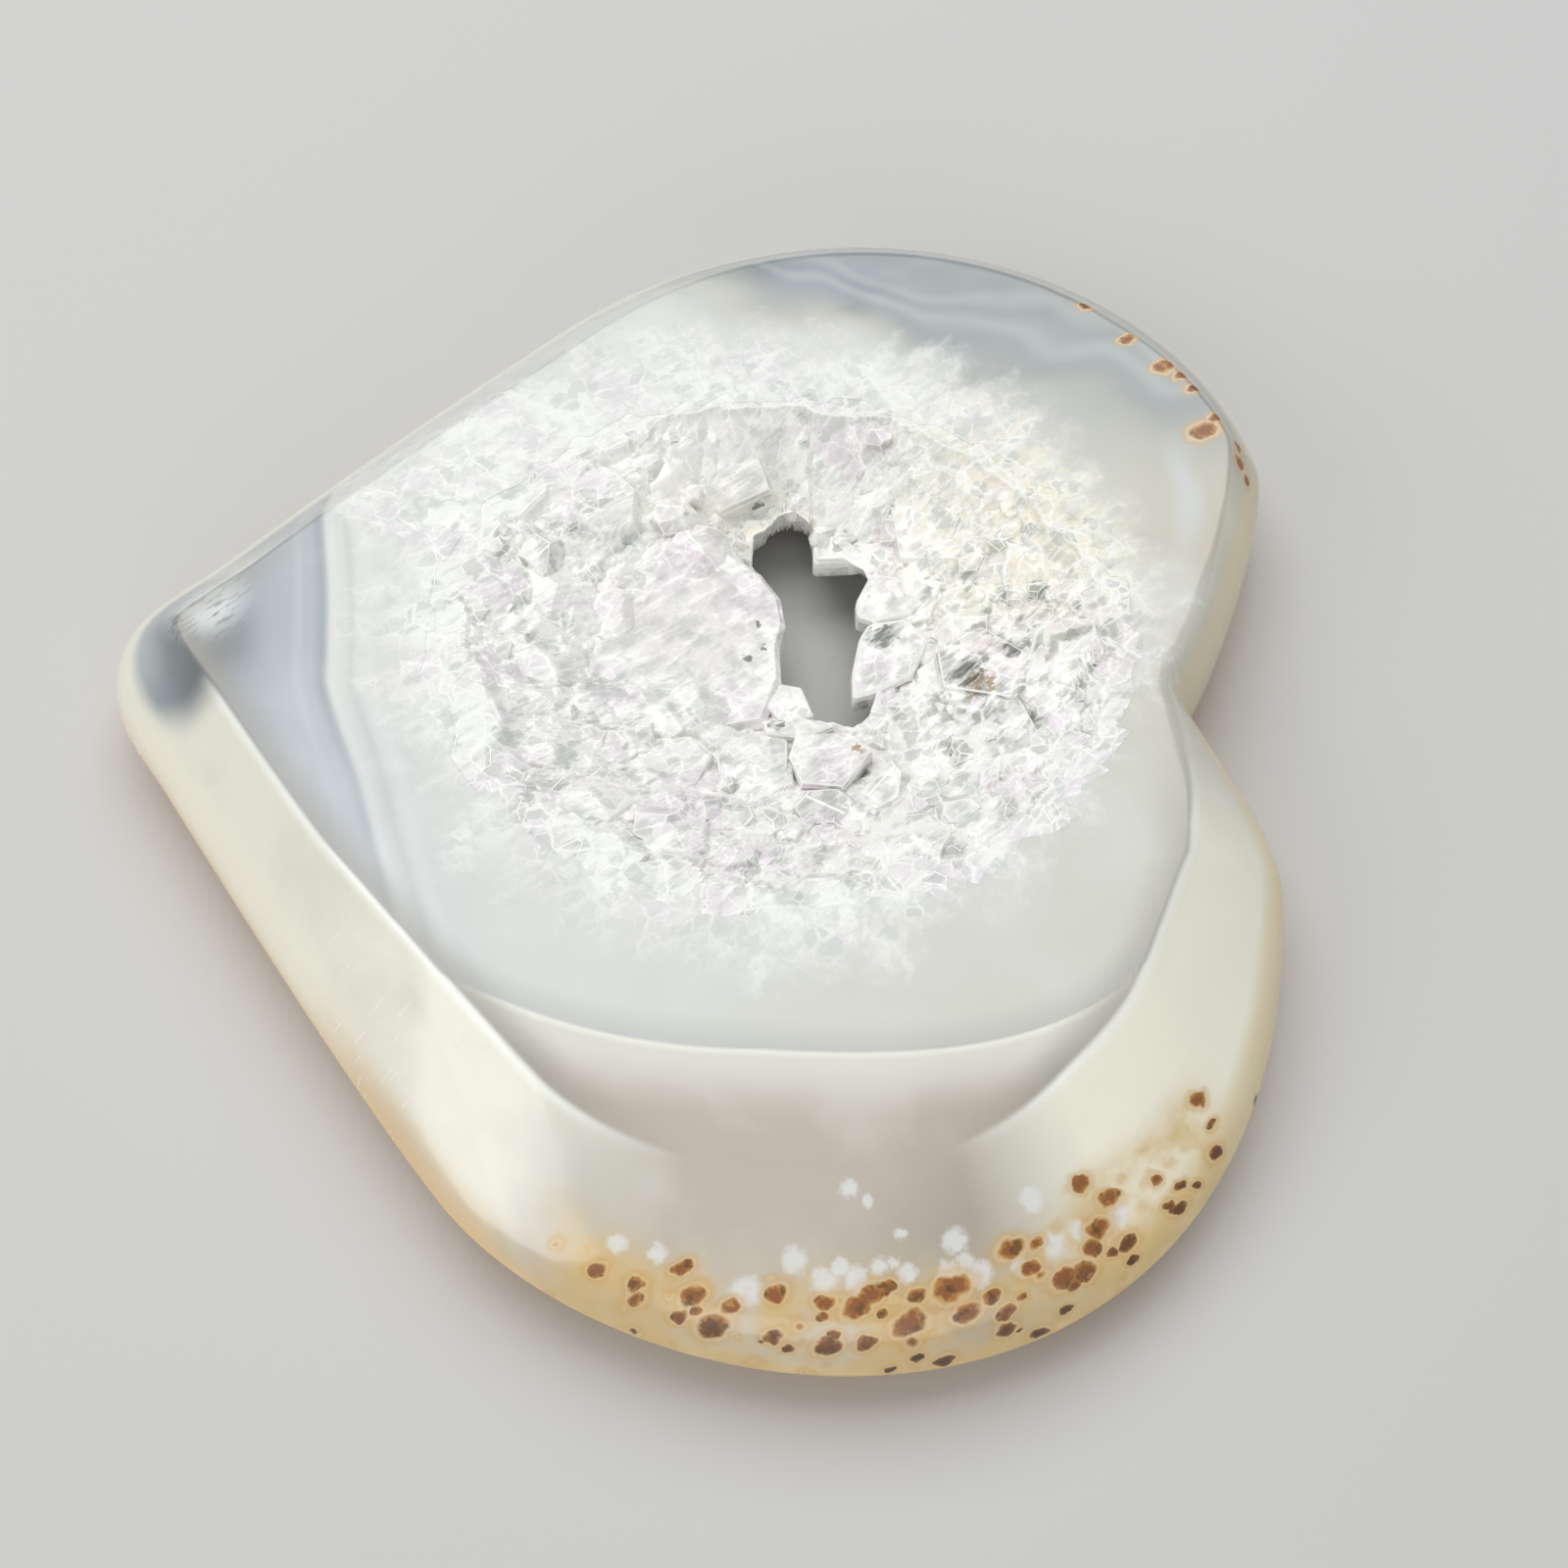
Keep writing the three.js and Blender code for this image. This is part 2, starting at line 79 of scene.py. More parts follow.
# %% [markdown]
# ## The camera
#
# The photograph was taken from close above, so the heart narrows towards its far side. A camera
# that matches it needs the same distance, not only the same direction: from far away with a long
# lens, both lobes would look equally large. The focal length is given in pixels of the square
# picture and turned into millimetres on Blender's 36 mm sensor.

# %% Camera
IMAGE_PIXELS = 1600
FOCAL_PIXELS = 1650
CAMERA_DISTANCE = 128.2
CAMERA_ELEVATION = math.radians(62.0)
CAMERA_AZIMUTH = math.radians(4.6)
CAMERA_TARGET = Vector((7.617, -3.493, 0.0))
SENSOR_WIDTH = 36
NEAREST_SEEN = 5.0

view_direction = Vector((
    -math.sin(CAMERA_AZIMUTH) * math.cos(CAMERA_ELEVATION),
    math.cos(CAMERA_AZIMUTH) * math.cos(CAMERA_ELEVATION),
    -math.sin(CAMERA_ELEVATION),
))
camera_data = bpy.data.cameras.new("camera")
camera_data.sensor_width = SENSOR_WIDTH
camera_data.lens = SENSOR_WIDTH * FOCAL_PIXELS / IMAGE_PIXELS
camera_data.clip_start = NEAREST_SEEN * MM
camera = bpy.data.objects.new("camera", camera_data)
camera.location = (CAMERA_TARGET - CAMERA_DISTANCE * view_direction) * MM
camera.rotation_mode = "QUATERNION"
camera.rotation_quaternion = view_direction.to_track_quat("-Z", "Y")
bpy.context.scene.collection.objects.link(camera)
bpy.context.scene.camera = camera
print(f"lens {camera_data.lens:.1f} mm, camera {CAMERA_DISTANCE:.0f} mm away")

# %% [markdown]
# ## The heart's outline
#
# A lapidary draws the heart on the slice with a template, then grinds to the line. The same
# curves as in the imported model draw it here, eight cubic pieces from the tip round both lobes.
# More steps make the edge smooth, and the result is stretched to the slab's own length and width.

# %% Outline
TIP = (-44.8, 0)
OUTLINE = [
    ((-44.8, -4.6), (-41.8, -7.0), (-38.4, -10.8), 6),
    ((-31.0, -19.3), (-20.1, -31.9), (-12.3, -39.4), 13),
    ((1.8, -52.9), (43.2, -55.6), (45.3, -13.6), 36),
    ((45.5, -9.0), (41.2, -3.4), (38.6, 1.0), 10),
    ((41.5, 6.0), (45.8, 20.0), (45.4, 24.1), 10),
    ((39.9, 48.6), (6.5, 56.9), (-14.2, 37.0), 36),
    ((-22.0, 29.0), (-31.0, 19.0), (-38.5, 9.8), 14),
    ((-41.5, 6.4), (-44.8, 4.2), (-44.8, 0), 6),
]
OUTLINE_FINENESS = 6


def cubic_curve(start, handle_a, handle_b, end, shares):
    """Points of a cubic curve at the given shares of its parameter."""
    t = np.asarray(shares)[:, None]
    corners = [np.array(p, float) for p in (start, handle_a, handle_b, end)]
    weights = [(1 - t) ** 3, 3 * t * (1 - t) ** 2, 3 * t**2 * (1 - t), t**3]
    return sum(w * p for w, p in zip(weights, corners))


def heart_outline(fineness):
    """The outline's points in order, fitted to the slab's box."""
    points = []
    start = TIP
    for handle_a, handle_b, end, steps in OUTLINE:
        shares = np.arange(steps * fineness) / (steps * fineness)
        points.append(cubic_curve(start, handle_a, handle_b, end, shares))
        start = end
    points = np.concatenate(points)
    low, high = points.min(0), points.max(0)
    return (points - (low + high) / 2) * (LENGTH, WIDTH) / (high - low)


outline = heart_outline(OUTLINE_FINENESS)
print(f"outline of {len(outline)} points")

# %% [markdown]
# ## Rays and insets
#
# Every section of the slab is a radial cut from one point in its middle. A bevel is as wide as
# its distance from the edge, though, which isn't the distance along the ray. So each ray is
# sampled once, the true distance to the outline is measured at each sample, and the place of any
# inset is then read off by interpolation.

# %% Rays
SLAB_MIDDLE = np.array((8.0, 1.0))
RAY_SAMPLES = 90
RAY_DEPTH = 26.0


def distance_to_outline(points):
    """Shortest distance in plan from each point to the outline."""
    start = outline
    edge = np.roll(outline, -1, 0) - start
    offset = points[:, None] - start
    along = np.clip((offset * edge).sum(2) / (edge**2).sum(1), 0, 1)
    return np.linalg.norm(offset - along[..., None] * edge, axis=2).min(1)


rays = outline - SLAB_MIDDLE
edge_reach = np.linalg.norm(rays, axis=1)
rays /= edge_reach[:, None]
bearings = np.degrees(np.arctan2(rays[:, 1], rays[:, 0]))
ray_depths = np.linspace(0, RAY_DEPTH, RAY_SAMPLES)
ray_insets = np.array([
    distance_to_outline(SLAB_MIDDLE + (reach - ray_depths)[:, None] * ray)
    for ray, reach in zip(rays, edge_reach)
])
ray_insets = np.maximum.accumulate(ray_insets, axis=1)


def reach_at_inset(insets):
    """Reach from the middle at which each ray lies that far inside the outline."""
    insets = np.broadcast_to(insets, edge_reach.shape)
    depths = [np.interp(inset, known, ray_depths) for inset, known in zip(insets, ray_insets)]
    return edge_reach - depths


def inset_at_reach(reaches):
    """Inset inside the outline, for an array with one row of reaches for each ray."""
    depths = edge_reach[:, None] - reaches
    return np.array([np.interp(d, ray_depths, known) for d, known in zip(depths, ray_insets)])


print(f"{len(rays)} rays, insets up to {ray_insets.max():.1f} mm")

# %% [markdown]
# ## The polished surface
#
# The top of a ground stone is the lowest of several simple surfaces: the flat face, the broad
# lower facet on the near side, and the bevel round the edge. Taking the smallest of them gives
# the creases for free, and a smooth minimum rounds each crease as the polishing cloth does.
# The flat face's crease is kept crisper than the bevel's, as on the real stone, and beside the
# notch between the lobes, where the wheel can't follow, the bevel rolls over softly.

# %% Top surface
GIRDLE_HEIGHT = 5.0
FACET_SLOPE = 0.27
TOP_EDGE = [
    ((-24.0, -21.0), (-14.0, -26.6), (-4.6, -30.8), (8.0, -29.8)),
    ((8.0, -29.8), (22.0, -29.6), (34.6, -27.4), (37.4, -12.0)),
]
TOP_EDGE_STEPS = 48
BEVEL_WIDTH = [
    (-180, 7.0), (-151, 7.4), (-141, 8.0), (-125, 8.9), (-98, 10.4), (-82, 11.6), (-58, 12.1),
    (-46, 10.8), (-36, 9.9), (-26, 8.4), (-17, 5.9), (-8, 3.9), (0, 2.8), (8, 2.6), (28, 3.6),
    (60, 6.4), (120, 7.2), (180, 7.0),
]
BEVEL_ROUNDNESS = [
    (-180, 0), (-112, 0), (-96, 1), (-70, 1), (-58, 0), (0, 0.3), (30, 0.4), (100, 0.2), (180, 0),
]
NOTCH_SIDE = [
    (-180, 0), (-32, 0), (-24, 0), (-17, 0.5), (-10, 1), (12, 1), (20, 0.5), (28, 0), (38, 0), (180, 0),
]
BEVEL_SOFTENING = 0.2
NOTCH_SOFTENING = 0.9
FACET_SOFTENING = 0.07
FLAT_BEVEL = {"straight": 0.835, "turn": 0.04}
ROUND_BEVEL = {"straight": 0.45, "turn": 0.13}
BEYOND_CREASE = 0.8
FAR_AWAY = 1e3


def read_list(pairs, places):
    """Values at any places of a list of (place, value) pairs, straight between them."""
    return np.interp(places, *zip(*pairs))


def read_list_smoothly(pairs, places):
    """The same with a smooth curve through the pairs."""
    at, values = np.array(pairs, float).T
    places_in_list = np.arange(len(at))
    before = np.maximum(places_in_list - 1, 0)
    after = np.minimum(places_in_list + 1, len(at) - 1)
    slopes = (values[after] - values[before]) / (at[after] - at[before])
    b = np.clip(np.searchsorted(at, places), 1, len(at) - 1)
    a = b - 1
    span = at[b] - at[a]
    t = (places - at[a]) / span
    rest = 1 - t
    ends = rest**2 * (1 + 2 * t) * values[a] + t**2 * (3 - 2 * t) * values[b]
    return ends + span * t * rest * (rest * slopes[a] - t * slopes[b])


def reach_of_chain(middle, rays, chain, closed):
    """Distance along each ray to a chain of straight edges, or far away where it misses."""
    starts = chain if closed else chain[:-1]
    edges = (np.roll(chain, -1, 0) if closed else chain[1:])[: len(starts)] - starts
    from_middle = starts - middle
    across = rays[:, :1] * edges[:, 1] - rays[:, 1:] * edges[:, 0]
    across = np.where(across == 0, 1 / FAR_AWAY**2, across)
    reach = (from_middle[:, 0] * edges[:, 1] - from_middle[:, 1] * edges[:, 0]) / across
    share = (from_middle[:, 0] * rays[:, 1:] - from_middle[:, 1] * rays[:, :1]) / across
    hit = (reach > 0) & (share >= 0) & (share <= 1)
    return np.where(hit, reach, FAR_AWAY).min(1)


def smooth_minimum(a, b, softening):
    """The lower of two surfaces, with the crease between them rounded off."""
    overlap = np.maximum(softening - np.abs(a - b), 0) / softening
    return np.minimum(a, b) - overlap**2 * softening / 4


bevel_width = read_list_smoothly(BEVEL_WIDTH, bearings)
roundness = read_list(BEVEL_ROUNDNESS, bearings)
notch_side = np.clip(read_list_smoothly(NOTCH_SIDE, bearings), 0, 1)
bevel_softening = BEVEL_SOFTENING + (NOTCH_SOFTENING - BEVEL_SOFTENING) * notch_side
crease_reach = reach_at_inset(bevel_width)
top_edge_chain = np.concatenate([
    cubic_curve(*points, np.linspace(0, 1, TOP_EDGE_STEPS)) for points in TOP_EDGE
])
arc_reach = reach_of_chain(SLAB_MIDDLE, rays, top_edge_chain, closed=False)
crease_height = THICKNESS - FACET_SLOPE * np.maximum(0, crease_reach - arc_reach)


def top_height(reaches):
    """Height of the polished top at those reaches, one row of them for each ray."""
    t = inset_at_reach(reaches) / bevel_width[:, None]
    rise = (crease_height - GIRDLE_HEIGHT)[:, None]
    straight, turn = [
        FLAT_BEVEL[key] + (ROUND_BEVEL[key] - FLAT_BEVEL[key]) * roundness[:, None]
        for key in ("straight", "turn")
    ]
    share = straight * t + (1 - straight) * (1 - np.exp(-t / turn))
    past_crease = BEYOND_CREASE * np.maximum(t - 1, 0) * bevel_width[:, None] / rise
    bevel = GIRDLE_HEIGHT + rise * (np.where(t < 1, share, 1) + past_crease)
    facet = THICKNESS - FACET_SLOPE * (reaches - arc_reach[:, None])
    face = smooth_minimum(np.full_like(facet, THICKNESS), facet, FACET_SOFTENING)
    return smooth_minimum(face, bevel, bevel_softening[:, None])


print(f"creases between {crease_height.min():.1f} and {crease_height.max():.1f} mm high")

# %% [markdown]
# ## The hollow's rim
#
# Where the saw cut through the hollow's wall, it cut the crystals too, so the rim isn't a clean
# ellipse: it is notched at the size of a crystal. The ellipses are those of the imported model,
# and a seeded zigzag is added to them, strong at the rim and fading below, where the crystals
# cover the wall anyway.

# %% Hollow
HOLLOW = [
    {"z": THICKNESS, "x": 7.0, "y": 2.3, "across": 26.0, "along": 22.6},
    {"z": 10.9, "x": 7.0, "y": 2.4, "across": 25.4, "along": 22.0},
    {"z": 7.4, "x": 7.6, "y": 4.6, "across": 17.5, "along": 17.4},
    {"z": 3.6, "x": 8.8, "y": 7.2, "across": 9.6, "along": 13.6},
    {"z": 0.0, "x": 8.8, "y": 7.0, "across": 12.4, "along": 15.6},
]
RIM_NOTCH = 0.8
RIM_NOTCHES = 150
RIM_NOTCH_DEPTH = 2.0
RIM_SEED = 7


def reach_of_ellipse(middle, rays, ellipse):
    """Distance along each ray to an ellipse that the rays start inside."""
    radii = np.array((ellipse["across"], ellipse["along"]))
    start = (middle - (ellipse["x"], ellipse["y"])) / radii
    steps = rays / radii
    a = (steps**2).sum(1)
    b = (steps * start).sum(1)
    c = (start**2).sum() - 1
    return (-b + np.sqrt(b * b - a * c)) / a


def zigzag(angles, notches, size, seed):
    """A closed jagged line round the full turn, in place of a smooth one."""
    random = np.random.default_rng(seed)
    knots = np.sort(random.uniform(-180, 180, notches))
    values = random.uniform(-size, size, notches)
    knots = np.concatenate([knots[-1:] - 360, knots, knots[:1] + 360])
    values = np.concatenate([values[-1:], values, values[:1]])
    return np.interp(angles, knots, values)


def hollow_ellipse(z):
    """The hollow's ellipse at any height."""
    heights = [level["z"] for level in HOLLOW][::-1]
    return {
        key: np.interp(z, heights, [level[key] for level in HOLLOW][::-1])
        for key in ("x", "y", "across", "along")
    }


def hollow_reach(z):
    """Reach of the hollow's wall at one height for every ray of the slab."""
    fade = max(0, 1 - (THICKNESS - z) / RIM_NOTCH_DEPTH)
    return reach_of_ellipse(SLAB_MIDDLE, rays, hollow_ellipse(z)) + fade * rim_notches


rim_notches = zigzag(bearings, RIM_NOTCHES, RIM_NOTCH, RIM_SEED)
print(f"rim notched by up to {np.abs(rim_notches).max():.1f} mm")

# %% [markdown]
# ## Building the slab's mesh
#
# Each ray carries the same number of points, close together where the surface turns and far
# apart where it is flat, so neighbouring rays join in a clean grid of quads. It could be one
# subdivided box, but then the creases would need thousands of extra faces everywhere.

# %% Slab mesh
UNDERSIDE_INSET = 4.2
UNDERSIDE_POWER = 2.1
CREASE_WINDOW = 0.9
EDGE_CROWDING = 1.8
HOLLOW_LEVELS = [12.6, 12.0, 11.2, 10.0, 8.8, 7.4, 5.8, 4.4, 3.2, 1.8, 0.8]
SHARP_ANGLE = math.radians(38)
GRID = {"underside": 5, "under_edge": 12, "bevel": 20, "crease": 8, "facet": 8, "flat": 10}


def steps_between(start, end, count, power=1.0):
    """Rows of reaches from start to end for every ray, without the end itself."""
    shares = (np.arange(count) / count) ** power
    return start[:, None] + (end - start)[:, None] * shares


def slab_sections():
    """Reach and height of every section's points, round from the hollow's foot and back."""
    foot = hollow_reach(0.0)
    angle = np.arange(GRID["under_edge"]) / GRID["under_edge"] * math.pi / 2
    under_inset = UNDERSIDE_INSET * (1 - np.sin(angle) ** (2 / UNDERSIDE_POWER))
    under_height = GIRDLE_HEIGHT * (1 - np.cos(angle) ** (2 / UNDERSIDE_POWER))
    bottom = steps_between(foot, reach_at_inset(UNDERSIDE_INSET), GRID["underside"])
    under = np.array([reach_at_inset(inset) for inset in under_inset]).T

    outer_crease = crease_reach + CREASE_WINDOW
    inner_crease = crease_reach - CREASE_WINDOW
    arc = np.minimum(arc_reach, inner_crease - CREASE_WINDOW)
    rim = np.minimum(hollow_reach(THICKNESS), arc - CREASE_WINDOW)
    top = np.concatenate([
        steps_between(edge_reach, outer_crease, GRID["bevel"], EDGE_CROWDING),
        steps_between(outer_crease, inner_crease, GRID["crease"]),
        steps_between(inner_crease, arc + CREASE_WINDOW / 2, GRID["facet"]),
        steps_between(arc + CREASE_WINDOW / 2, arc - CREASE_WINDOW / 2, GRID["crease"]),
        steps_between(arc - CREASE_WINDOW / 2, rim, GRID["flat"]),
        rim[:, None],
    ], axis=1)
    wall = np.array([hollow_reach(z) for z in HOLLOW_LEVELS]).T

    reaches = np.concatenate([bottom, under, top, wall], axis=1)
    heights = np.concatenate([
        np.zeros_like(bottom),
        np.broadcast_to(under_height, under.shape),
        top_height(top),
        np.broadcast_to(HOLLOW_LEVELS, wall.shape),
    ], axis=1)
    return reaches, heights


def tyre_faces(rings, steps):
    """Quads of a closed grid of rings, joined round both ways."""
    ring, step = np.meshgrid(np.arange(rings), np.arange(steps), indexing="ij")
    next_ring, next_step = (ring + 1) % rings, (step + 1) % steps
    corners = [ring * steps + step, next_ring * steps + step,
               next_ring * steps + next_step, ring * steps + next_step]
    return np.stack(corners, axis=2).reshape(-1, 4)


def mesh_piece(name, points, faces):
    """A mesh object from points in millimetres, linked to the scene."""
    mesh = bpy.data.meshes.new(name)
    mesh.from_pydata((np.asarray(points) * MM).tolist(), [], np.asarray(faces).tolist())
    mesh.validate()
    piece = bpy.data.objects.new(name, mesh)
    bpy.context.scene.collection.objects.link(piece)
    return piece


def store_on_points(piece, name, values):
    """Keeps one number for each point, for a material to read."""
    attribute = piece.data.attributes.new(name, "FLOAT", "POINT")
    attribute.data.foreach_set("value", np.asarray(values, np.float32).ravel())


def shade_polished(piece):
    """Smooth shading, with real edges left sharp."""
    piece.data.shade_smooth()
    piece.data.set_sharp_from_angle(angle=SHARP_ANGLE)


section_reach, section_height = slab_sections()
slab_plan = SLAB_MIDDLE + section_reach[..., None] * rays[:, None]
slab_points = np.concatenate([slab_plan, section_height[..., None]], axis=2)
slab = mesh_piece("agate_heart", slab_points.reshape(-1, 3), tyre_faces(*section_reach.shape))
shade_polished(slab)
print(f"slab mesh of {len(slab.data.vertices)} points and {len(slab.data.polygons)} faces")

# %% [markdown]
# ## Numbers for the agate's material
#
# The colour changes exactly at each crease, partly because the cut meets another layer there and partly
# as painted light and shade, since the faces on either side are tilted differently. A material can't
# know where a crease runs, so the mesh carries it: every point stores how far inside the outline it
# lies, how far past the bevel's crease and past the facet's, how crisp the crease is, how far out from
# the crystals it lies, and how much it belongs to the belt of brown specks.

# %% Numbers for the agate's material
CRYSTAL_MIDDLE = np.array((9.6, 6.5))
CRYSTAL_GROUND = [
    (-180, 33.6), (-170, 33.0), (-160, 32.2), (-150, 31.4), (-141, 31.4), (-130, 31.2), (-120, 30.4),
    (-100, 29.4), (-80, 28.6), (-65, 26.8), (-50, 25.0), (-35, 24.2), (-20, 23.6), (-5, 25.0),
    (8, 24.4), (22, 23.4), (40, 23.4), (55, 24.2), (75, 24.4), (100, 24.8), (125, 28.4),
    (145, 33.0), (160, 37.0), (170, 38.6), (180, 33.6),
]
SPECK_BELT = {"from": -102, "to": -50, "fade": 8, "low": 2.6, "high": 8.6, "blur": 1.4}
FAR_SIDE = {"from": (12, 40), "to": (168, 178), "softer": 0.8}
NOTCH_SOFTER = 0.7
CREASE_BLEND = (-0.15, 0.25)
ARC_BLEND = (-0.1, 0.15)
NOT_NEAR = 9.0


def smooth_step(low, high, values):
    """0 below low, 1 above high and smooth between them."""
    t = np.clip((values - low) / (high - low), 0, 1)
    return t * t * (3 - 2 * t)


def window(values, low, high, blur):
    """1 between low and high, fading to 0 outside over the blur."""
    return smooth_step(low - blur, low, values) * (1 - smooth_step(high, high + blur, values))


from_crystals = slab_plan - CRYSTAL_MIDDLE
crystal_bearing = np.degrees(np.arctan2(from_crystals[..., 1], from_crystals[..., 0]))
crystal_ground = np.linalg.norm(from_crystals, axis=2) / read_list_smoothly(
    CRYSTAL_GROUND, crystal_bearing)
slab_inset = inset_at_reach(section_reach)
belt = window(bearings[:, None], SPECK_BELT["from"], SPECK_BELT["to"], SPECK_BELT["fade"])
belt = belt * window(section_height, SPECK_BELT["low"], SPECK_BELT["high"], SPECK_BELT["blur"])
belt = belt * (slab_inset < bevel_width[:, None])
upper_side = section_height > GIRDLE_HEIGHT
past_crease = np.where(upper_side, bevel_width[:, None] - slab_inset, NOT_NEAR)
past_arc = np.where(upper_side, section_reach - arc_reach[:, None], -NOT_NEAR)
far_side = smooth_step(*FAR_SIDE["from"], bearings) * (1 - smooth_step(*FAR_SIDE["to"], bearings))
crisp = ((1 - roundness) * (1 - FAR_SIDE["softer"] * far_side))[:, None]
on_bevel = smooth_step(*CREASE_BLEND, past_crease) * crisp
on_facet = smooth_step(*ARC_BLEND, past_arc) * (1 - on_bevel)
soft_notch = (1 - NOTCH_SOFTER * notch_side)[:, None]
on_bevel = on_bevel * soft_notch
crisp = crisp * soft_notch
slab_numbers = {
    "inset": slab_inset, "ground": crystal_ground, "belt": belt, "on_bevel": on_bevel,
    "past_crease": past_crease, "on_facet": on_facet, "past_arc": past_arc,
    "crisp": np.broadcast_to(crisp, slab_inset.shape),
}
for name, values in slab_numbers.items():
    store_on_points(slab, name, values)
print(f"crystal ground 0 to {crystal_ground.max():.2f}, belt on {int((belt > 0.5).sum())} points")

# %% [markdown]
# ## The lining of rock crystal
#
# Quartz grew from the hollow's wall inwards, so the crystals stand on a bed of their own roots.
# That bed is one closed shell: a bowl above, the back against the agate, a rough ring below and
# the walls of the hole. Its upper side is a crowd of crystals that have grown into each other.
# Each is a blunt cone of six uneven flat faces, and the highest one at each place wins, which gives
# ridges and sharp valleys without placing a single object. Ridges are chipped and white on the real
# crust, and their white also stands in for glints of light, so the change of slope across each point is
# kept as an attribute that the material paints white: partly wear, partly painted glints.

# %% Lining mesh
HOLE = np.array([
    (14.4, 1.6), (13.1, 4.2), (13.8, 7.8), (12.7, 9.0), (13.6, 11.2), (12.7, 13.0), (11.2, 13.9),
    (8.8, 13.8), (8.1, 17.2), (6.7, 18.6), (5.4, 18.0), (4.5, 16.2), (3.6, 15.6), (3.7, 12.9),
    (4.5, 11.7), (6.3, 9.4), (6.7, 7.1), (6.6, 4.8), (6.9, 1.8), (8.6, 1.4), (9.8, -1.0),
    (12.8, -1.4), (13.9, -0.4),
])
HOLE_LIP = {"z": 5.0, "undercut": 0.6}
SIXTH_TURN = math.pi / 3
BOWL = [(0, 5.8), (0.2, 6.9), (0.5, 9.2), (0.72, 11.3), (0.88, 12.7), (1, 13.3), (1.1, 13.6)]
BED_SINK = 0.55
BED_SINKS_FROM = (0, 0.1)
BED_SINKS_TO = (0.82, 0.98)
BED_BELOW_SAW = 0.03
BED_TURNS = 720
BED_SHARES = np.linspace(0, 1.08, 92)
BED_REACH = 30.0
CROWDS = [
    {"count": 90, "size": (2.6, 4.6), "height": 0.32, "seed": 11},
    {"count": 500, "size": (1.2, 2.4), "height": 0.34, "seed": 12},
    {"count": 2600, "size": (0.5, 1.1), "height": 0.38, "seed": 13},
]
HEIGHT_SPREAD = (0.7, 1.3)
FACE_SLOPES = (0.05, 0.5)
COLUMN_SLOPE = 2.5
COLUMN_SHARE = 0.55
RIDGE_KINK = (0.22, 0.7)
SHORTEST_STEP = 0.05
LINING_BACK = [(12.5, 2.2), (9.0, 0.4), (6.0, 0.2), (3.0, 0.2), (1.2, 0.2)]
LINING_UNDER = [(0.85, 1.0), (0.6, 1.7), (0.35, 2.7), (0.2, 3.6)]
UNDER_ROUGHNESS = 0.5

turns = np.arange(BED_TURNS) / BED_TURNS * 2 * math.pi
crust_rays = np.stack([np.cos(turns), np.sin(turns)], axis=1)
hole_reach = reach_of_chain(CRYSTAL_MIDDLE, crust_rays, HOLE, closed=True)
rim_reach = reach_of_ellipse(CRYSTAL_MIDDLE, crust_rays, HOLLOW[0])


def wall_reach(z):
    """Reach of the hollow's wall at one height, seen from the middle of the crystals."""
    return reach_of_ellipse(CRYSTAL_MIDDLE, crust_rays, hollow_ellipse(z))


def bowl_points(shares):
    """Points of the bowl for every turn and share of the way from the hole to the rim."""
    reach = hole_reach[:, None] + (rim_reach - hole_reach)[:, None] * shares
    plan = CRYSTAL_MIDDLE + reach[..., None] * crust_rays[:, None]
    height = np.broadcast_to(read_list(BOWL, shares), reach.shape)
    return np.concatenate([plan, height[..., None]], axis=2)


def crowd_height(plan, crowd):
    """Height of one crowd of blunt crystals over each place in plan."""
    random = np.random.default_rng(crowd["seed"])
    height = np.zeros(len(plan))
    order = np.argsort(plan[:, 0])
    sorted_x = plan[order, 0]
    for _ in range(crowd["count"]):
        turn, reach = random.uniform(0, 2 * math.pi), BED_REACH * math.sqrt(random.uniform())
        foot = CRYSTAL_MIDDLE + reach * np.array((math.cos(turn), math.sin(turn)))
        size = random.uniform(*crowd["size"])
        top = size * crowd["height"] * random.uniform(*HEIGHT_SPREAD)
        spin = random.uniform(0, SIXTH_TURN)
        slopes = random.uniform(*FACE_SLOPES, 6)
        strip = order[slice(*np.searchsorted(sorted_x, (foot[0] - size, foot[0] + size)))]
        near = strip[np.abs(plan[strip, 1] - foot[1]) < size]
        offset = plan[near] - foot
        fall = np.zeros(len(near))
        for side, slope in enumerate(slopes):
            normal = spin + side * SIXTH_TURN
            away = offset @ (math.cos(normal), math.sin(normal))
            column = COLUMN_SLOPE * (away - size * COLUMN_SHARE)
            fall = np.maximum(fall, np.maximum(slope * away, column))
        height[near] = np.maximum(height[near], top - fall)
    return height


def ridge_share(points):
    """1 on sharp ridges of a grid of points, 0 where it is flat or hollow."""
    height = points[..., 2]
    kinks = []
    for axis in (0, 1):
        before, after = np.roll(height, 1, axis), np.roll(height, -1, axis)
        step = np.linalg.norm(np.roll(points, -1, axis)[..., :2] - points[..., :2], axis=2)
        kinks.append((2 * height - before - after) / np.maximum(step, SHORTEST_STEP))
    return smooth_step(*RIDGE_KINK, np.maximum(*kinks))


def ring(plan, height):
    """One ring of points of the lining, from its plan and its height."""
    return np.concatenate([plan, np.broadcast_to(height, len(plan))[:, None]], axis=1)[:, None]


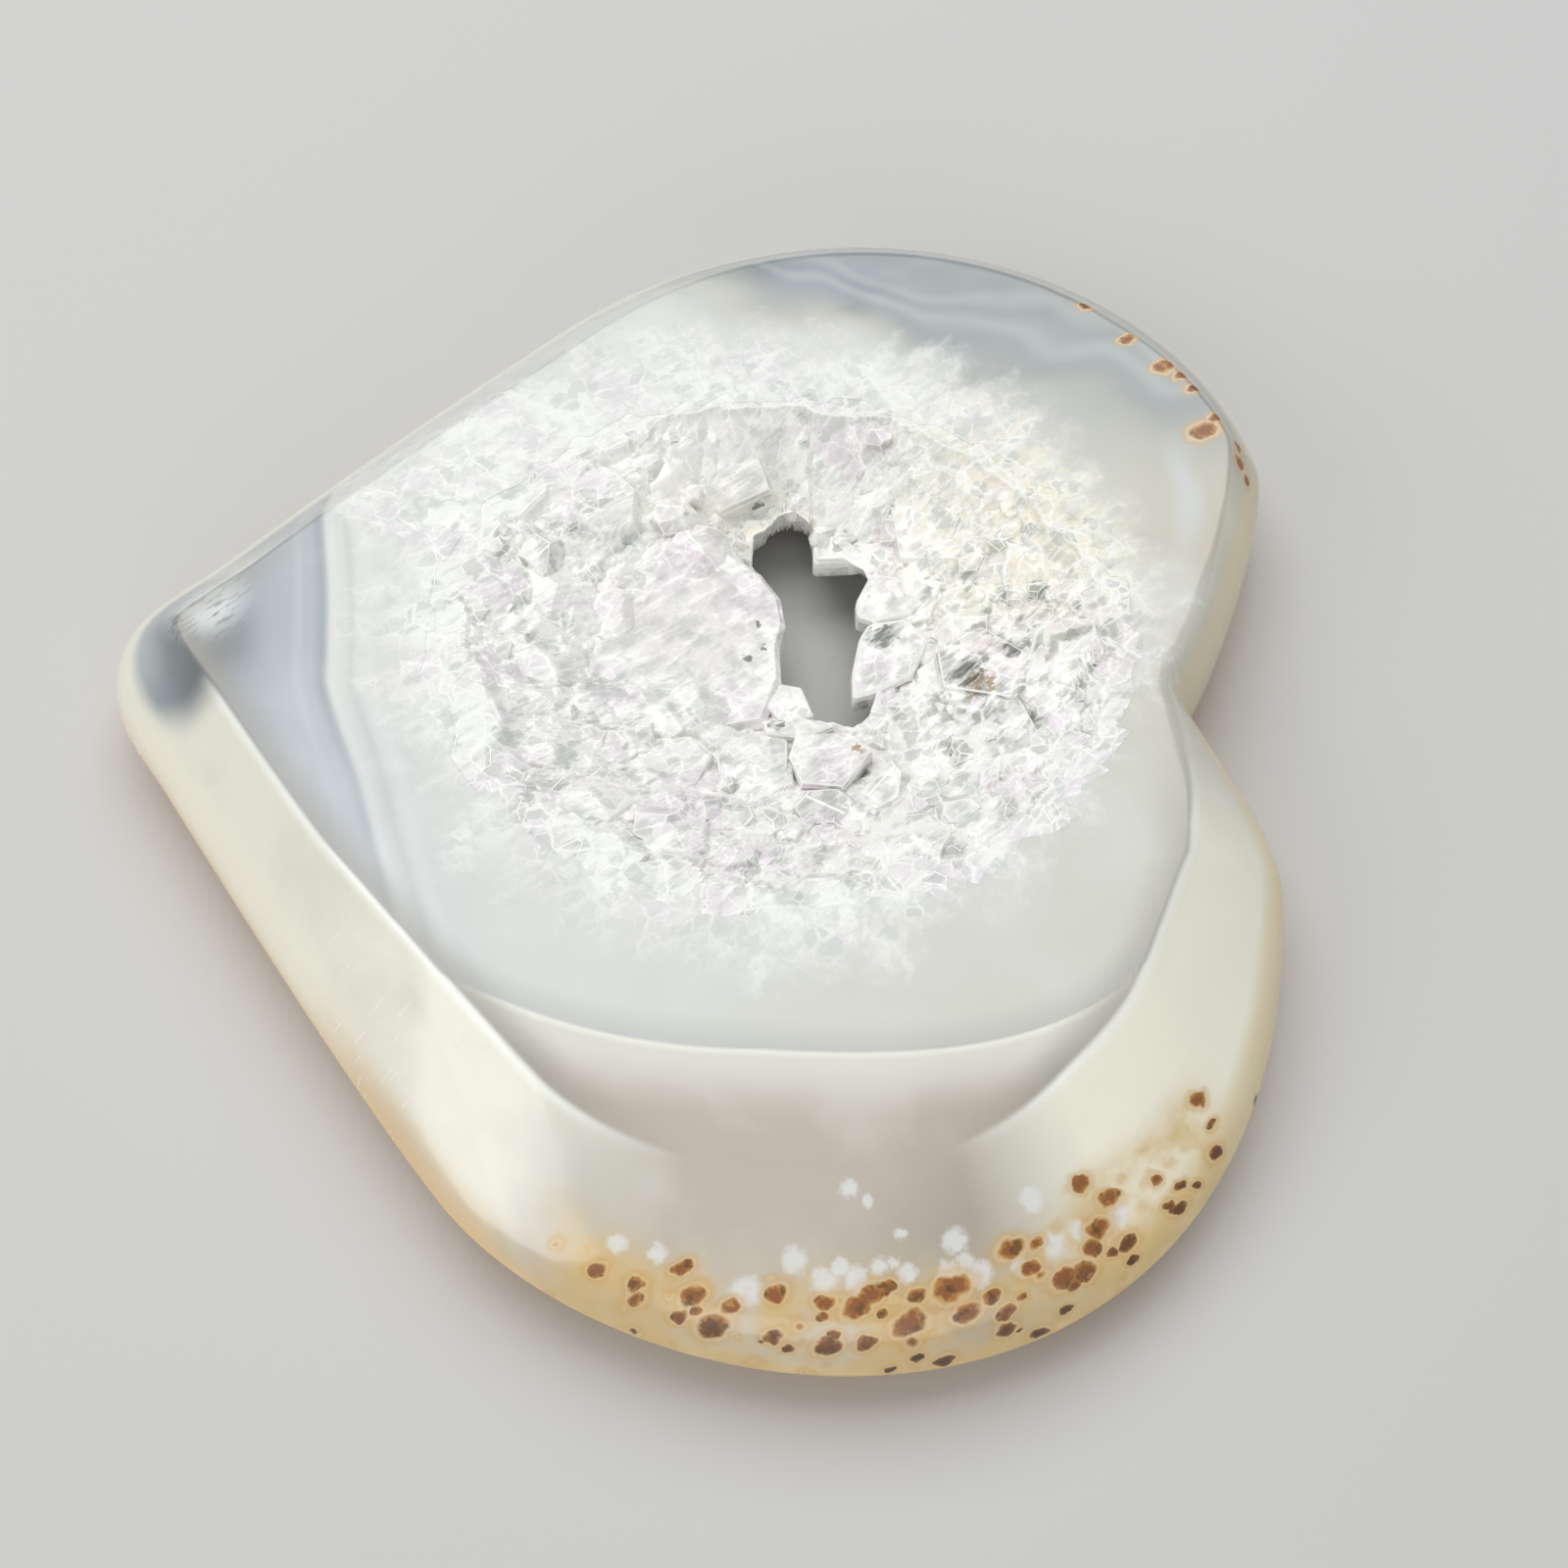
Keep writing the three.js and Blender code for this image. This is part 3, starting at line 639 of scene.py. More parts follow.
def lining_points(bed):
    """All rings of the lining, from the hole's upper lip over the bed, the back and below."""
    random = np.random.default_rng(CROWDS[0]["seed"])
    rings = [bed]
    for z, into_wall in LINING_BACK:
        rings.append(ring(CRYSTAL_MIDDLE + (wall_reach(z) + into_wall)[:, None] * crust_rays, z))
    foot = wall_reach(LINING_BACK[-1][0])
    for share, z in LINING_UNDER:
        reach = hole_reach + (foot - hole_reach) * share
        height = z + UNDER_ROUGHNESS * random.uniform(-1, 1, len(reach))
        rings.append(ring(CRYSTAL_MIDDLE + reach[:, None] * crust_rays, height))
    under_lip = hole_reach + HOLE_LIP["undercut"]
    rings.append(ring(CRYSTAL_MIDDLE + under_lip[:, None] * crust_rays, HOLE_LIP["z"]))
    return np.concatenate(rings, axis=1)


bed = bowl_points(BED_SHARES)
bed_plan = bed[..., :2].reshape(-1, 2)
crowds = np.max([crowd_height(bed_plan, crowd) for crowd in CROWDS], axis=0)
sink_share = smooth_step(*BED_SINKS_FROM, BED_SHARES) * (1 - smooth_step(*BED_SINKS_TO, BED_SHARES))
bed[..., 2] += crowds.reshape(bed.shape[:2]) - BED_SINK * sink_share
bed[..., 2] = np.minimum(bed[..., 2], THICKNESS - BED_BELOW_SAW)
lining_grid = lining_points(bed)
worn_and_glint_share = np.zeros(lining_grid.shape[:2])
worn_and_glint_share[:, : len(BED_SHARES)] = ridge_share(bed)
worn_and_glint_share[:, 0] = 1
worn_and_glint_share[:, -1] = 1
lining = mesh_piece(
    "quartz_lining", lining_grid.reshape(-1, 3), tyre_faces(*lining_grid.shape[:2])[:, ::-1])
store_on_points(lining, "worn", worn_and_glint_share)
print(f"lining of {len(lining.data.polygons)} faces, {int((worn_and_glint_share > 0.5).sum())} ridge points")

# %% [markdown]
# ## Quartz points
#
# A quartz crystal is a six-sided column closed by sloping faces that are never equally large:
# often one of them has grown so wide that the point looks like a chisel. Each kind here is a
# block from which such planes cut everything outside, as the real faces do when they grow.
# A few kinds are enough, because Geometry Nodes turn and scale every copy differently. The edges are
# bevelled: on a real crystal they are chipped and catch the light as thin white lines, so the bevel's
# faces carry the number 1 in an attribute that the material reads and paints white, partly as chipped
# wear and partly as painted glints of light.

# %% Crystal shapes
CRYSTAL_KINDS = 9
CRYSTAL_SEED = 31
CRYSTAL_BEVEL = 0.04
CRYSTAL_ROOT = -0.9
BLOCK_SIZE = 4
CUT_SLACK = 1e-7
COLUMN_REACH = (0.7, 1.05)
POINT_HEIGHT = (0.25, 0.8)
EXTRA_HEIGHT = (0.0, 0.55)
POINT_SLOPE = (0.55, 1.0)
WIDE_FACE_SLOPE = (0.12, 0.42)


def flat_facing(angle, slope):
    """Outward normal of a sloping face that looks towards an angle in plan."""
    return Vector((math.cos(angle) * slope, math.sin(angle) * slope, 1)).normalized()


def close_cut(form, origin, normal):
    """Cuts off everything beyond a plane and closes the cut."""
    everything = form.verts[:] + form.edges[:] + form.faces[:]
    cut = bmesh.ops.bisect_plane(
        form, geom=everything, dist=CUT_SLACK, plane_co=origin, plane_no=normal, clear_outer=True)
    edges = [item for item in cut["geom_cut"] if isinstance(item, bmesh.types.BMEdge)]
    bmesh.ops.edgeloop_fill(form, edges=edges)
    bmesh.ops.holes_fill(form, edges=[edge for edge in form.edges if edge.is_boundary])


def worn_and_glint_piece(name, form, bevel, collection):
    """An object from a sharp form, with bevelled edges marked in an attribute for chips and painted
    glints.
    """
    bmesh.ops.remove_doubles(form, verts=form.verts, dist=bevel)
    worn = form.faces.layers.float.new("worn")
    made = bmesh.ops.bevel(
        form, geom=form.edges[:], offset=bevel, segments=1, affect="EDGES", clamp_overlap=True)
    for face in made["faces"]:
        face[worn] = 1.0
    bmesh.ops.recalc_face_normals(form, faces=form.faces)
    mesh = bpy.data.meshes.new(name)
    form.to_mesh(mesh)
    form.free()
    piece = bpy.data.objects.new(name, mesh)
    collection.objects.link(piece)
    return piece


def quartz_point(name, random, collection):
    """One quartz point of about unit radius, standing on its root."""
    form = bmesh.new()
    bmesh.ops.create_cube(form, size=BLOCK_SIZE)
    close_cut(form, (0, 0, CRYSTAL_ROOT), (0, 0, -1))
    spin = random.uniform(0, SIXTH_TURN)
    for side in range(6):
        angle = spin + side * SIXTH_TURN
        outward = Vector((math.cos(angle), math.sin(angle), 0))
        close_cut(form, outward * random.uniform(*COLUMN_REACH), outward)
    tall = random.uniform(*POINT_HEIGHT)
    wide_side = random.integers(6)
    for side in range(6):
        angle = spin + side * SIXTH_TURN
        slopes = WIDE_FACE_SLOPE if side == wide_side else POINT_SLOPE
        apex = tall if side == wide_side else tall + random.uniform(*EXTRA_HEIGHT)
        close_cut(form, (0, 0, apex), flat_facing(angle, random.uniform(*slopes)))
    return worn_and_glint_piece(name, form, CRYSTAL_BEVEL, collection)


crystal_kinds = bpy.data.collections.new("crystal kinds")
kind_random = np.random.default_rng(CRYSTAL_SEED)
for kind in range(CRYSTAL_KINDS):
    quartz_point(f"quartz_kind_{kind}", kind_random, crystal_kinds)

# %% [markdown]
# ## Scattering the points with Geometry Nodes
#
# The points grow from the bowl, roughly square to its surface, crowded but not on top of each
# other. Poisson-disk scattering keeps a least distance between them, random size and lean make
# them uneven, and one tree serves for large, middling and small ones. What would stand above
# the saw's plane is flattened, each crystal at a slightly different height, because faces in
# exactly one plane would hide each other. Realize Instances makes one plain mesh of them.

# %% Scatter tree
SCATTER_INPUTS = [
    ("Room", "NodeSocketString", "room_small"),
    ("Spacing", "NodeSocketFloat", 0.002),
    ("Smallest", "NodeSocketFloat", 0.0008),
    ("Largest", "NodeSocketFloat", 0.002),
    ("Lean", "NodeSocketFloat", 0.5),
    ("Depth", "NodeSocketFloat", 0.0),
    ("Saw height", "NodeSocketFloat", 0.0129),
    ("Seed", "NodeSocketInt", 1),
    ("Material", "NodeSocketMaterial", None),
]
DENSITY_LIMIT = 2e6
SIZE_SKEW = 1.8
SIZE_SEED_STEP = 17
SAW_DROP = 0.015


def link_all(tree, pairs):
    """Joins pairs of sockets."""
    for source, target in pairs:
        tree.links.new(source, target)


def live(sockets):
    """The sockets that a node shows in its present setting."""
    return [socket for socket in sockets if socket.enabled]


def scatter_tree():
    """Crystals on the faces of a mesh: where, how large, how far they lean."""
    tree = bpy.data.node_groups.new("crystals on a surface", "GeometryNodeTree")
    tree.interface.new_socket("Surface", in_out="INPUT", socket_type="NodeSocketGeometry")
    for name, kind, default in SCATTER_INPUTS:
        socket = tree.interface.new_socket(name, in_out="INPUT", socket_type=kind)
        if default is not None:
            socket.default_value = default
    tree.interface.new_socket("Crystals", in_out="OUTPUT", socket_type="NodeSocketGeometry")
    new = tree.nodes.new
    given = new("NodeGroupInput").outputs
    scatter = new("GeometryNodeDistributePointsOnFaces")
    scatter.distribute_method = "POISSON"
    scatter.inputs["Density Max"].default_value = DENSITY_LIMIT

    room = new("GeometryNodeInputNamedAttribute")
    room.data_type = "FLOAT"

    lean = new("FunctionNodeRandomValue")
    lean.data_type = "FLOAT_VECTOR"
    spread = new("ShaderNodeCombineXYZ")
    spread.inputs["Z"].default_value = math.pi
    opposite = new("ShaderNodeVectorMath")
    opposite.operation = "SCALE"
    opposite.inputs["Scale"].default_value = -1.0
    tilt = new("FunctionNodeEulerToRotation")
    turned = new("FunctionNodeRotateRotation")
    turned.rotation_space = "LOCAL"

    chance = new("FunctionNodeRandomValue")
    chance.data_type = "FLOAT"
    skewed = new("ShaderNodeMath")
    skewed.operation = "POWER"
    skewed.inputs[1].default_value = SIZE_SKEW
    size = new("ShaderNodeMapRange")
    other_seed = new("ShaderNodeMath")
    other_seed.operation = "ADD"
    other_seed.inputs[1].default_value = SIZE_SEED_STEP

    kinds = new("GeometryNodeCollectionInfo")
    kinds.inputs["Collection"].default_value = crystal_kinds
    kinds.inputs["Separate Children"].default_value = True
    kinds.inputs["Reset Children"].default_value = True
    pick = new("FunctionNodeRandomValue")
    pick.data_type = "INT"
    live(pick.inputs)[0].default_value = 0
    live(pick.inputs)[1].default_value = CRYSTAL_KINDS - 1

    sink = new("ShaderNodeVectorMath")
    sink.operation = "SCALE"
    move = new("GeometryNodeSetPosition")
    place = new("GeometryNodeInstanceOnPoints")
    place.inputs["Pick Instance"].default_value = True
    drop = new("FunctionNodeRandomValue")
    drop.data_type = "FLOAT"
    live(drop.inputs)[0].default_value = 0
    live(drop.inputs)[1].default_value = SAW_DROP * MM
    keep_drop = new("GeometryNodeStoreNamedAttribute")
    keep_drop.domain = "INSTANCE"
    keep_drop.data_type = "FLOAT"
    keep_drop.inputs["Name"].default_value = "drop"
    solid = new("GeometryNodeRealizeInstances")
    kept_drop = new("GeometryNodeInputNamedAttribute")
    kept_drop.data_type = "FLOAT"
    kept_drop.inputs["Name"].default_value = "drop"
    limit = new("ShaderNodeMath")
    limit.operation = "SUBTRACT"
    old_place = new("GeometryNodeInputPosition")
    parts = new("ShaderNodeSeparateXYZ")
    lower = new("ShaderNodeMath")
    lower.operation = "MINIMUM"
    new_place = new("ShaderNodeCombineXYZ")
    sawn = new("GeometryNodeSetPosition")
    paint = new("GeometryNodeSetMaterial")
    result = new("NodeGroupOutput")
    smallest_lean, largest_lean = live(lean.inputs)[:2]
    chance_value, lean_value, pick_value, room_value, drop_value, kept_value = [
        live(node.outputs)[0] for node in (chance, lean, pick, room, drop, kept_drop)
    ]
    link_all(tree, [
        (given["Surface"], scatter.inputs["Mesh"]),
        (given["Spacing"], scatter.inputs["Distance Min"]),
        (given["Room"], room.inputs["Name"]),
        (room_value, scatter.inputs["Density Factor"]),
        (given["Seed"], scatter.inputs["Seed"]),
        (given["Seed"], lean.inputs["Seed"]),
        (given["Seed"], pick.inputs["Seed"]),
        (given["Seed"], other_seed.inputs[0]),
        (other_seed.outputs[0], chance.inputs["Seed"]),
        (given["Lean"], spread.inputs["X"]),
        (given["Lean"], spread.inputs["Y"]),
        (spread.outputs[0], opposite.inputs[0]),
        (opposite.outputs[0], smallest_lean),
        (spread.outputs[0], largest_lean),
        (lean_value, tilt.inputs["Euler"]),
        (scatter.outputs["Rotation"], turned.inputs["Rotation"]),
        (tilt.outputs["Rotation"], turned.inputs["Rotate By"]),
        (chance_value, skewed.inputs[0]),
        (skewed.outputs[0], size.inputs["Value"]),
        (given["Smallest"], size.inputs["To Min"]),
        (given["Largest"], size.inputs["To Max"]),
        (scatter.outputs["Normal"], sink.inputs[0]),
        (given["Depth"], sink.inputs["Scale"]),
        (scatter.outputs["Points"], move.inputs["Geometry"]),
        (sink.outputs[0], move.inputs["Offset"]),
        (move.outputs[0], place.inputs["Points"]),
        (kinds.outputs[0], place.inputs["Instance"]),
        (pick_value, place.inputs["Instance Index"]),
        (turned.outputs["Rotation"], place.inputs["Rotation"]),
        (size.outputs["Result"], place.inputs["Scale"]),
        (place.outputs[0], keep_drop.inputs["Geometry"]),
        (drop_value, keep_drop.inputs["Value"]),
        (keep_drop.outputs[0], solid.inputs[0]),
        (given["Saw height"], limit.inputs[0]),
        (kept_value, limit.inputs[1]),
        (old_place.outputs[0], parts.inputs[0]),
        (parts.outputs["X"], new_place.inputs["X"]),
        (parts.outputs["Y"], new_place.inputs["Y"]),
        (parts.outputs["Z"], lower.inputs[0]),
        (limit.outputs[0], lower.inputs[1]),
        (lower.outputs[0], new_place.inputs["Z"]),
        (solid.outputs[0], sawn.inputs["Geometry"]),
        (new_place.outputs[0], sawn.inputs["Position"]),
        (sawn.outputs[0], paint.inputs["Geometry"]),
        (given["Material"], paint.inputs["Material"]),
        (paint.outputs[0], result.inputs[0]),
    ])
    return tree


crystals_on_surface = scatter_tree()
print(f"scatter tree of {len(crystals_on_surface.nodes)} nodes")

# %% [markdown]
# ## Crystals placed one by one
#
# Beside the hole lies one broad smooth crystal face, the largest in the hollow. In front of it is
# a lower ledge of three, and round the hole's right side stand the blunt crystals that give the
# opening its outline: a square tooth, two tongues and two small blocks. Random scattering would
# never put them there, so each is given by the outline of its upper face and a height at its
# middle, with a tilt, and stands on a root inside the bed.

# %% Listed crystals
HAND_CRYSTALS = {
    "beside": {
        "outline": [
            (-12.0, 3.4), (-10.8, 11.2), (-5.0, 14.6), (-2.2, 13.4), (1.4, 13.3), (4.6, 11.4),
            (6.3, 9.4), (6.9, 7.0), (6.6, 4.8), (7.0, 1.8), (6.0, -2.2), (1.0, -4.2), (-6.0, -4.6),
            (-9.6, -1.4),
        ],
        "height": 8.3, "tilt": (-0.17, 0.02), "depth": 2.4, "edge": 0.10,
    },
    "ledge_a": {
        "outline": [(-3.8, -8.4), (-2.6, -5.2), (0.8, -4.4), (2.7, -5.9), (1.6, -9.2), (-1.0, -10.0)],
        "height": 9.2, "tilt": (-0.10, -0.20), "depth": 2.6, "edge": 0.26,
    },
    "ledge_b": {
        "outline": [(2.4, -4.9), (5.2, -3.4), (8.0, -3.9), (8.2, -6.8), (5.6, -8.6), (3.0, -7.4)],
        "height": 8.4, "tilt": (0.05, -0.25), "depth": 2.4, "edge": 0.26,
    },
    "ledge_c": {
        "outline": [(8.4, -3.4), (12.6, -2.9), (14.4, -4.8), (12.4, -8.4), (9.2, -8.2), (8.0, -5.6)],
        "height": 8.6, "tilt": (0.08, -0.22), "depth": 2.6, "edge": 0.2,
    },
    "tooth": {
        "outline": [(8.2, 17.6), (8.6, 13.5), (11.7, 13.8), (13.6, 14.2), (13.8, 18.2), (9.6, 19.6)],
        "height": 6.6, "tilt": (0.04, 0.12), "depth": 2.0, "edge": 0.6,
    },
    "tongue_far": {
        "outline": [(13.3, 12.6), (12.2, 9.9), (12.4, 8.5), (13.6, 8.0), (17.0, 8.6), (17.4, 11.6)],
        "height": 7.0, "tilt": (0.24, 0.05), "depth": 2.2, "edge": 0.5,
    },
    "tongue_near": {
        "outline": [
            (13.4, 7.9), (12.7, 6.6), (12.3, 3.2), (12.5, 0.9), (14.0, 1.3), (17.0, 2.8),
            (18.2, 6.0), (16.4, 8.2),
        ],
        "height": 6.9, "tilt": (0.22, 0.02), "depth": 2.2, "edge": 0.6,
    },
    "block_left": {
        "outline": [(6.2, 1.9), (8.6, 1.7), (9.8, -1.0), (7.4, -1.9), (5.8, -0.4)],
        "height": 6.7, "tilt": (-0.08, -0.1), "depth": 2.2, "edge": 0.2,
    },
    "block_near": {
        "outline": [(5.8, -1.8), (8.8, -1.2), (11.4, -1.9), (9.0, -3.4), (6.2, -3.2)],
        "height": 7.1, "tilt": (0.0, -0.2), "depth": 2.2, "edge": 0.28,
    },
    "far_wall": {
        "outline": [(0.8, 16.4), (4.8, 18.8), (3.6, 21.4), (-1.6, 21.2), (-3.6, 18.0)],
        "height": 9.4, "tilt": (-0.14, 0.42), "depth": 2.4, "edge": 0.16,
    },
    "right_wall": {
        "outline": [(15.4, 13.2), (20.0, 12.6), (22.2, 16.0), (18.6, 19.4), (14.4, 17.8)],
        "height": 9.4, "tilt": (0.32, 0.24), "depth": 2.4, "edge": 0.14,
    },
    "right_near": {
        "outline": [(19.2, 1.0), (24.4, -0.6), (25.6, 3.4), (22.0, 6.6), (18.6, 4.6)],
        "height": 9.6, "tilt": (0.32, -0.06), "depth": 2.4, "edge": 0.2,
    },
}
SHOULDER = 0.45
UPPER_SHARE = 0.94


def in_polygon(points, polygon):
    """Which points lie inside a polygon in plan."""
    inside = np.zeros(len(points), bool)
    x, y = points[:, 0], points[:, 1]
    for (x1, y1), (x2, y2) in zip(polygon, np.roll(polygon, -1, 0)):
        crosses = (y1 > y) != (y2 > y)
        with np.errstate(divide="ignore", invalid="ignore"):
            inside ^= crosses & (x < (x2 - x1) * (y - y1) / (y2 - y1) + x1)
    return inside


def hand_crystal(name, shape):
    """A blunt crystal: a tilted flat top, a sloping shoulder and a straight root."""
    outline_points = np.array(shape["outline"], float)
    middle = outline_points.mean(0)
    height = shape["height"] + (outline_points - middle) @ shape["tilt"]
    small = middle + (outline_points - middle) * UPPER_SHARE
    small_height = shape["height"] + (small - middle) @ shape["tilt"]
    levels = [(small, small_height), (outline_points, height - SHOULDER),
              (outline_points, height - shape["depth"])]
    form = bmesh.new()
    rings = [[form.verts.new((*plan * MM, z * MM)) for plan, z in zip(*level)] for level in levels]
    form.faces.new(rings[0])
    form.faces.new(rings[-1][::-1])
    count = len(outline_points)
    for upper, lower in zip(rings, rings[1:]):
        for i in range(count):
            j = (i + 1) % count
            form.faces.new((upper[j], upper[i], lower[i], lower[j]))
    return worn_and_glint_piece(f"quartz_{name}", form, shape["edge"] / 2 * MM, bpy.context.scene.collection)


hand_crystals = [hand_crystal(name, shape) for name, shape in HAND_CRYSTALS.items()]
print(f"{len(hand_crystals)} crystals placed by hand")

# %% [markdown]
# ## Materials: small helpers
#
# Both materials are built from nodes. These helpers keep the cells short: one makes a node and
# fills its sockets, whether a socket gets a number or the output of another node, and the others
# are the handful of shapes that a pattern is made of: noise, cells, a soft spot, a border, a row
# of marks. Colours are written as they look on a screen, from 0 to 255, and turned into the
# linear values that Blender calculates with.

# %% Node helpers
NUMBER_OPERATIONS = ("DISTANCE", "LENGTH", "DOT_PRODUCT")
MIX_SHARE, MIX_FIRST, MIX_SECOND, MIX_RESULT = 0, 6, 7, 2


def screen_colour(red, green, blue):
    """A colour as seen on a screen, in linear light."""
    shares = [v / 255 for v in (red, green, blue)]
    return [s / 12.92 if s <= 0.04045 else ((s + 0.055) / 1.055) ** 2.4 for s in shares] + [1.0]


class Recipe:
    """A material's nodes, built by short calls."""

    def __init__(self, name):
        self.material = bpy.data.materials.new(name)
        self.material.use_nodes = True
        self.tree = self.material.node_tree
        self.tree.nodes.clear()

    def node(self, kind, inputs=(), settings=()):
        """A node with its settings and its sockets, by name or number."""
        made = self.tree.nodes.new(kind)
        for name, value in dict(settings).items():
            setattr(made, name, value)
        for key, value in dict(inputs).items():
            if isinstance(value, bpy.types.NodeSocket):
                self.tree.links.new(value, made.inputs[key])
            else:
                made.inputs[key].default_value = value
        return made

    def calc(self, operation, *values, clamp=False):
        """The result of a sum, product or other operation."""
        settings = {"operation": operation, "use_clamp": clamp}
        return self.node("ShaderNodeMath", enumerate(values), settings).outputs[0]

    def product(self, first, *others):
        """Several numbers or masks multiplied."""
        for other in others:
            first = self.calc("MULTIPLY", first, other)
        return first

    def vector(self, operation, *values, scale=None):
        """The result of an operation on places or directions."""
        inputs = dict(enumerate(values))
        if scale is not None:
            inputs["Scale"] = scale
        made = self.node("ShaderNodeVectorMath", inputs, {"operation": operation})
        return made.outputs["Value" if operation in NUMBER_OPERATIONS else "Vector"]

    def between(self, value, low, high, to_low=0.0, to_high=1.0):
        """Maps low to high smoothly onto the two given ends."""
        inputs = {"Value": value, "From Min": low, "From Max": high,
                  "To Min": to_low, "To Max": to_high}
        return self.node("ShaderNodeMapRange", inputs, {"interpolation_type": "SMOOTHSTEP"}).outputs[0]

    def mix(self, share, first, second, blend="MIX"):
        """Two colours mixed by a share."""
        settings = {"data_type": "RGBA", "blend_type": blend}
        sockets = {MIX_SHARE: share, MIX_FIRST: first, MIX_SECOND: second}
        return self.node("ShaderNodeMix", sockets, settings).outputs[MIX_RESULT]

    def layered(self, colour, layers):
        """Colours laid over a first one in order, each with its share."""
        for share, tone in layers:
            colour = self.mix(share, colour, tone)
        return colour

    def noise(self, place, scale, detail=3.0, roughness=0.55):
        """Soft random variation from 0 to 1."""
        inputs = {"Vector": place, "Scale": scale, "Detail": detail, "Roughness": roughness}
        return self.node("ShaderNodeTexNoise", inputs).outputs[0]

    def drift(self, place, scale, amount, detail=2.0):
        """A random shift in space, by up to about half the amount along each axis."""
        inputs = {"Vector": place, "Scale": scale, "Detail": detail}
        warp = self.node("ShaderNodeTexNoise", inputs).outputs["Color"]
        return self.vector("SCALE", self.vector("SUBTRACT", warp, (0.5, 0.5, 0.5)), scale=amount)

    def cells(self, place, scale, feature="F1", dimensions="3D"):
        """A node of random cells, in space or, sooner calculated, in plan."""
        settings = {"feature": feature, "voronoi_dimensions": dimensions}
        return self.node("ShaderNodeTexVoronoi", {"Vector": place, "Scale": scale}, settings)

    def stretched(self, place, turn, size):
        """Coordinates turned in plan and stretched, for strokes that all run one way."""
        inputs = {"Vector": place, "Rotation": (0, 0, turn), "Scale": size}
        return self.node("ShaderNodeMapping", inputs, {"vector_type": "TEXTURE"}).outputs[0]

    def place(self):
        """The piece's own coordinates, in millimetres."""
        coordinates = self.node("ShaderNodeTexCoord").outputs["Object"]
        return self.vector("SCALE", coordinates, scale=1 / MM)

    def height(self, place):
        """The height of a place."""
        return self.node("ShaderNodeSeparateXYZ", {0: place}).outputs["Z"]

    def first_of(self, colour):
        """One random number from a random colour."""
        return self.node("ShaderNodeSeparateColor", {0: colour}).outputs[0]

    def stored(self, name):
        """A number stored on the mesh."""
        return self.node("ShaderNodeAttribute", {}, {"attribute_name": name}).outputs["Fac"]

    def bump(self, height, distance, strength):
        """A normal bent by a height in metres."""
        inputs = {"Height": height, "Distance": distance, "Strength": strength}
        return self.node("ShaderNodeBump", inputs).outputs[0]

    def finish(self, sockets):
        """The shader with its sockets, joined to the output."""
        shader = self.node("ShaderNodeBsdfPrincipled", sockets, {"subsurface_method": "BURLEY"})
        self.node("ShaderNodeOutputMaterial", {"Surface": shader.outputs[0]})
        return self.material


print("material helpers ready")

# %% [markdown]
# ## Where the specks are
#
# Near its lower edge the agate holds brown and golden specks of iron mineral, each with a paler halo,
# and small white clouds. The large ones are where the photograph shows them. Their pixels are sent
# through the camera onto the finished slab, so that each lies in the surface, seen from any side. The
# tiny ones between them are left to a random pattern in the material. Two broad brownish painted
# shadows, on the facet and on the left bevel, find their places in the same way.

# %% Find the specks on the slab
BROWN_SPECKS = [
    (609, 1296, 18), (649, 1311, 19), (696, 1294, 16), (707, 1323, 26), (694, 1343, 17),
    (711, 1338, 14), (727, 1354, 28), (746, 1334, 20), (792, 1320, 19), (789, 1364, 16),
    (777, 1370, 9), (804, 1376, 11), (840, 1329, 16), (839, 1344, 15), (845, 1374, 24),
    (851, 1362, 12), (884, 1370, 17), (874, 1335, 27), (889, 1320, 24), (906, 1314, 18),
    (900, 1340, 15), (929, 1352, 32), (934, 1323, 19), (936, 1386, 14), (964, 1388, 20),
    (909, 1397, 10), (971, 1314, 30), (986, 1340, 26), (1013, 1323, 21), (1026, 1340, 16),
    (1026, 1357, 18), (1041, 1358, 9), (1043, 1323, 14), (1031, 1275, 25), (1051, 1294, 18),
    (1062, 1360, 16), (1088, 1337, 13), (1086, 1305, 24), (1106, 1298, 22), (1096, 1312, 12),
    (1121, 1253, 26), (1116, 1273, 20), (1150, 1269, 18), (1136, 1278, 14), (1155, 1286, 9),
    (1203, 1233, 15), (1193, 1230, 9), (1221, 1210, 13), (1205, 1208, 14), (1180, 1205, 12),
    (1102, 1208, 16), (1240, 1177, 16), (1222, 1122, 15), (1237, 1147, 14), (1281, 1123, 10),
]
WHITE_CLOUDS = [
    (630, 1269, 20), (671, 1278, 18), (762, 1318, 30), (810, 1286, 24), (841, 1308, 22),
    (874, 1306, 22), (897, 1292, 20), (925, 1299, 20), (967, 1299, 22), (974, 1266, 22),
    (1052, 1224, 26), (919, 1259, 13), (1000, 1300, 26), (1075, 1270, 24), (1140, 1240, 22),
    (866, 1213, 16), (886, 1226, 12), (858, 1294, 16), (912, 1288, 14), (985, 1288, 16),
    (1040, 1292, 16), (1100, 1256, 16),
]
RIND_SPECKS = [
    (1109, 312, 14), (1150, 346, 15), (1187, 374, 18), (1206, 383, 13), (1219, 396, 14),
    (1242, 426, 16), (1228, 439, 22), (1263, 455, 15), (1265, 472, 18), (1272, 490, 14),
]
# Two broad brownish painted shadows, on the facet and on the left bevel, by pixel and width.
FACET_SHADOW_AT = (1010, 1250, 330)
BEVEL_SHADOW_AT = (590, 1250, 230)
SHADOW_SOFTNESS = 0.9

slab_surface = BVHTree.FromPolygons(
    [v.co[:] for v in slab.data.vertices], [p.vertices[:] for p in slab.data.polygons])
camera_right = view_direction.cross(Vector((0, 0, 1))).normalized()
camera_up = camera_right.cross(view_direction)


